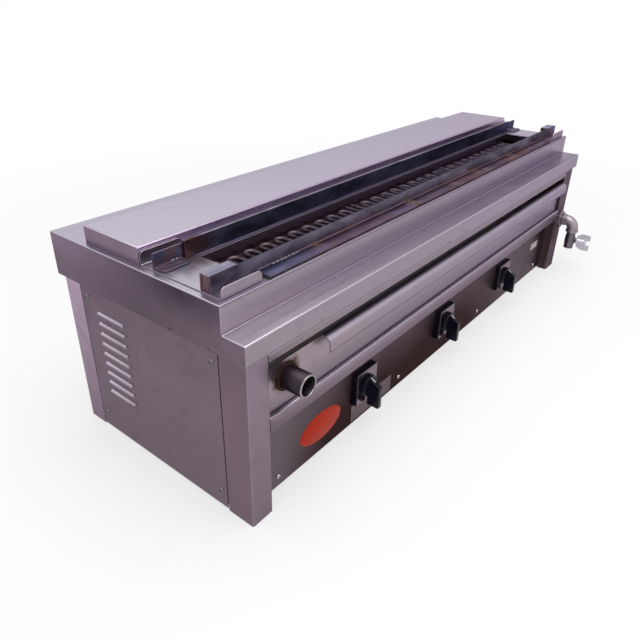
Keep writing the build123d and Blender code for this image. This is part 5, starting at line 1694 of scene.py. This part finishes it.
@dataclass
class RotarySwitches(Assembly):
    """Three switches: bezel, silver plate, pointer knob with a white mark."""

    xs: tuple[float, float, float] = (-305.0, -23.0, 259.0)
    z: float = 74.5
    panel_face: float = -139.0
    bezel: Spot = (58.0, 8.0, 62.0)
    bezel_corner: float = 2.0
    bezel_rim: float = 0.8
    plate_edge: float = 0.2
    knob_back: float = -148.5
    knob_radius: float = 20.0
    knob_skirt: float = 7.0
    knob_depth: float = 27.0
    knob_width: float = 10.0
    knob_rise: float = 17.0
    knob_brow: float = 5.0
    knob_drop: float = 36.5
    knob_heel: float = 3.5
    knob_edge: float = 1.6
    skirt_edge: tuple[Pair, ...] = ((2.6, 0.0), (1.3, 0.5), (0.6, 1.6))
    skirt_steps: int = 56
    mark: Spot = (2.0, 9.5, 0.5)
    mark_start: float = 0.6
    mark_edge: float = 0.12

    def build(self) -> None:
        """Build the three switches."""
        # Silver plate: the default painted shade on its side and front faces
        silver = Steel("switch_plate_silver", "silver_plate", (0.46, 0.42, 0.45), 0.2, run=Way.Z)
        black = Moulding("switch_body_black", gloss=0.4)
        steel = Casting("shaft_steel", "screw_steel", (0.45, 0.43, 0.45), 0.3, 0.02, 0.2)
        for side, x in zip(("left", "middle", "right"), self.xs):
            self.frame(side, x)
            self.shop.refine(silver, self.plate_edge, f"switch_plate_{side}")
            self.shop.keep(black, f"switch_body_{side}")
            self.shop.keep(steel, f"switch_shaft_{side}")
            self.knob(side, x)
            self.line(side, x)

    def frame(self, side: str, x: float) -> None:
        """Square bezel with rounded corners.

        Args:
            side: Which switch.
            x: Its middle.
        """
        deep, face = self.bezel[1], self.panel_face
        bm = bmesh.new()
        verts = Bench.block(bm, Matrix.Translation(mm(x, face - deep / 2, self.z)), self.bezel)
        across = [e for e in Bench.edges_of(verts) if abs((e.verts[0].co - e.verts[1].co).y) > deep * MM / 2]
        Bench.soften(bm, across, self.bezel_corner, 5)
        rim = [e for e in bm.edges if all(v.co.y < (face - deep / 2) * MM for v in e.verts)]
        Bench.soften(bm, rim, self.bezel_rim, 3)
        self.shop.flatten(self.shop.stand_in(f"switch_bezel_{side}", bm, Moulding("bezel_black", gloss=0.3)))

    def knob(self, side: str, x: float) -> None:
        """Knob: a disc with a grip that hangs below it.

        Args:
            side: Which switch.
            x: Its middle.
        """
        bm = bmesh.new()
        back, rise, drop, skirt = self.knob_back, self.knob_rise, -self.knob_drop, self.knob_skirt
        face, heel = back - self.knob_depth, back - self.knob_heel
        grip = [(back, rise), (back - skirt, rise), (face, self.knob_brow), (face, drop)]
        grip += [(heel, drop), (heel, -rise), (back, -rise)]
        corners = [(x - self.knob_width / 2, y, self.z + up) for y, up in grip]
        verts = Bench.drawn(bm, corners, (self.knob_width, 0.0, 0.0))
        Bench.soften(bm, Bench.edges_of(verts), self.knob_edge, 4)
        rim = [(self.knob_radius - inward, skirt - lower) for inward, lower in self.skirt_edge]
        disc = [(0.0, skirt), *rim, (self.knob_radius, 0.0), (0.0, 0.0)]
        Bench.turned(bm, disc, (x, back, self.z), (0.0, -1.0, 0.0), self.skirt_steps)
        Bench.outward(bm)
        self.shop.flatten(self.shop.stand_in(f"switch_knob_{side}", bm, Moulding("knob_black")))

    def line(self, side: str, x: float) -> None:
        """White line let into the sloping top of the grip.

        Args:
            side: Which switch.
            x: Its middle.
        """
        start = mm(x, self.knob_back - self.knob_skirt, self.z + self.knob_rise)
        end = mm(x, self.knob_back - self.knob_depth, self.z + self.knob_brow)
        slope = (end - start).normalized()
        place = Matrix.Translation(start + slope * (self.mark[1] / 2 + self.mark_start) * MM)
        bm = bmesh.new()
        verts = Bench.block(bm, place @ slope.to_track_quat("Y", "Z").to_matrix().to_4x4(), self.mark)
        Bench.soften(bm, Bench.edges_of(verts), self.mark_edge, 2)
        paint = Film("mark_white", "", (0.8, 0.79, 0.78), (0.7, 0.69, 0.68), 0.4)
        self.shop.place(f"knob_mark_{side}", bm, [paint], f"knob_{side}")


@dataclass
class WaterInlet(Assembly):
    """Elbow, ball valve and butterfly handle at the right front leg, and the fill tube inside."""

    fitting_edge: float = 0.5
    valve_edge: float = 0.4
    handle_edge: float = 0.7
    nut_edge: float = 0.3

    def build(self) -> None:
        """Dress the fittings."""
        zinc = Casting("galvanised_fitting", "galvanised", (0.34, 0.29, 0.335), 0.4, 0.15, 0.5)
        valve = Casting("valve_nickel", "galvanised", (0.17, 0.145, 0.17), 0.3, 0.08, 0.7)
        silver = Casting("handle_silver", "handle_metal", (0.66, 0.63, 0.69), 0.42, 0.1, 0.12, 0.6)
        chrome = Casting("ball_chrome", "chrome_ball", (0.6, 0.58, 0.6), 0.15, 0.01, 0.1)
        brass = Casting("fill_tube_brass", "brass", (0.55, 0.4, 0.18), 0.35, 0.04, 0.4)
        self.shop.refine(zinc, self.fitting_edge, "inlet_elbow", "inlet_locknuts")
        self.shop.refine(zinc, self.nut_edge, "inlet_nipple")
        self.shop.refine(valve, self.valve_edge, "valve_body")
        self.shop.refine(silver, self.handle_edge, "valve_handle")
        self.shop.refine(chrome, self.nut_edge, "valve_handle_nut")
        self.shop.keep(chrome, "valve_ball")
        self.shop.keep(brass, "fill_tube")


@dataclass
class CableEntry(Assembly):
    """Grommet in the rear panel and the terminal block behind it."""

    grommet_edge: float = 0.6
    block_edge: float = 0.5

    def build(self) -> None:
        """Dress both pieces."""
        rubber = Moulding("grommet_rubber", "rubber", (0.018, 0.017, 0.018), 0.6)
        self.shop.refine(rubber, self.grommet_edge, "cable_grommet")
        self.shop.refine(Moulding("terminal_block_black", gloss=0.35), self.block_edge, "terminal_block")


@dataclass
class Studio:
    """Floor, soft lamps, pale surroundings and the camera at the photograph's angle, in metres."""

    floor_half: float = 9.0
    floor_tone: Colour = (0.86, 0.86, 0.86)
    floor_fade: tuple[float, float, float, float] = (0.7, 1.9, 0.62, 1.0)
    world_light: float = 0.55
    camera_spot: Spot = (-1.0019, -0.5844, 0.6632)
    azimuth: float = -50.964
    elevation: float = 28.204
    roll: float = 0.654
    lens: float = 33.34
    sensor: float = 36.0
    clip: Pair = (0.01, 60.0)
    shift: Pair = (0.0178, -0.0240)
    aim: Spot = (0.0, 0.0, 0.25)
    lamps: dict[str, tuple[Spot, float, float]] = field(
        default_factory=lambda: {
            "overhead": ((-0.2, -0.3, 2.6), 2.4, 52.0),
            "front_fill": ((0.6, -2.8, 1.8), 2.0, 9.0),
            "left_fill": ((-2.8, 0.4, 2.0), 1.8, 6.0),
        }
    )

    def build(self) -> None:
        """Set up everything that isn't part of the object."""
        bpy.context.scene.view_settings.view_transform = "Standard"
        self.floor()
        self.surroundings()
        for name, (spot, size, power) in self.lamps.items():
            self.lamp(name, spot, size, power)
        self.camera()

    def seen(self, w: Wiring) -> NodeSocket:
        """1 on rays that show the surroundings: from the camera, in metal or through glass.

        Args:
            w: Wiring of the floor or the world.

        Returns:
            The mask.
        """
        rays = w.add("ShaderNodeLightPath").outputs
        shown = w.sum("ADD", rays["Is Camera Ray"], rays["Is Glossy Ray"])
        return w.span(w.sum("ADD", shown, rays["Is Transmission Ray"]), 0.0, 1.0)

    def blend(self, w: Wiring, share: NodeSocket, lit: Node, shown: Node) -> NodeSocket:
        """Mix two shaders, the second by a share.

        Args:
            w: Wiring.
            share: Share of the second.
            lit: First shader.
            shown: Second shader.

        Returns:
            The mixed shader.
        """
        node = w.add("ShaderNodeMixShader")
        for socket, value in zip(node.inputs, (share, lit.outputs[0], shown.outputs[0])):
            w.feed(socket, value)
        return node.outputs[0]

    def floor(self) -> None:
        """Wide pale floor that keeps the object's shadow."""
        bm = bmesh.new()
        bmesh.ops.create_grid(bm, x_segments=2, y_segments=2, size=self.floor_half)
        floor = put("floor", mesh_of("floor", bm))
        material = bpy.data.materials.new("pale_floor")
        w = Wiring(empty_tree(material))
        matt = w.add("ShaderNodeBsdfDiffuse", Color=self.floor_tone)
        pale = w.add("ShaderNodeEmission", Color=WHITE, Strength=1.0)
        x, y, _ = w.parts(w.add("ShaderNodeTexCoord").outputs["Object"])
        share = w.product(self.seen(w), w.span(w.length(x, y), *self.floor_fade))
        w.add("ShaderNodeOutputMaterial", Surface=self.blend(w, share, matt, pale))
        floor.data.materials.append(material)
        floor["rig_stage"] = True

    def surroundings(self) -> None:
        """White to look at, softer as a light."""
        world = bpy.data.worlds.new("studio")
        bpy.context.scene.world = world
        w = Wiring(empty_tree(world))
        light = w.add("ShaderNodeBackground", Color=WHITE, Strength=self.world_light)
        white = w.add("ShaderNodeBackground", Color=WHITE, Strength=1.0)
        w.add("ShaderNodeOutputWorld", Surface=self.blend(w, self.seen(w), light, white))

    def lamp(self, name: str, spot: Spot, size: float, power: float) -> None:
        """Square softbox that looks at the middle of the object.

        Args:
            name: Name of the lamp.
            spot: Where it hangs.
            size: Length of its sides.
            power: Its power in watts.
        """
        light = bpy.data.lights.new(name, "AREA")
        light.shape, light.size, light.energy = "SQUARE", size, power
        lamp = put(name, light)
        lamp.location = spot
        lamp.rotation_euler = (Vector(self.aim) - Vector(spot)).to_track_quat("-Z", "Y").to_euler()

    def camera(self) -> None:
        """Camera that stands where the photograph was taken from."""
        az, el, roll = (math.radians(a) for a in (self.azimuth, self.elevation, self.roll))
        back = Vector((math.sin(az) * math.cos(el), -math.cos(az) * math.cos(el), math.sin(el)))
        right = Vector((math.cos(az), math.sin(az), 0.0))
        up = back.cross(right)
        across = right * math.cos(roll) + up * math.sin(roll)
        upward = up * math.cos(roll) - right * math.sin(roll)
        data = bpy.data.cameras.new("camera")
        data.lens = self.lens
        data.sensor_width = self.sensor
        data.shift_x, data.shift_y = self.shift
        data.clip_start, data.clip_end = self.clip
        camera = put("camera", data)
        turn = Matrix((across, upward, back)).transposed().to_4x4()
        camera.matrix_world = Matrix.Translation(self.camera_spot) @ turn
        bpy.context.scene.camera = camera


def plain(box: tuple[Vector, Vector]) -> list[list[float]]:
    """Corners of a box as plain lists of numbers."""
    return [[round(float(c), 5) for c in corner] for corner in box]


def main() -> None:
    """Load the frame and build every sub-assembly."""
    logging.basicConfig(level=logging.INFO, format="%(name)s: %(message)s")
    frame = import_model()
    cad_box = plain(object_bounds())
    shop = Workshop(frame)
    for assembly in (Cabinet, Deck, HeaterBank, Rests, WaterTray, RotarySwitches, WaterInlet, CableEntry):
        assembly(shop).build()
        log.info("done: %s", assembly.__name__)
    Studio().build()
    {"cad": cad_box, "visual": plain(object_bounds())}


if __name__ == "__main__":
    main()
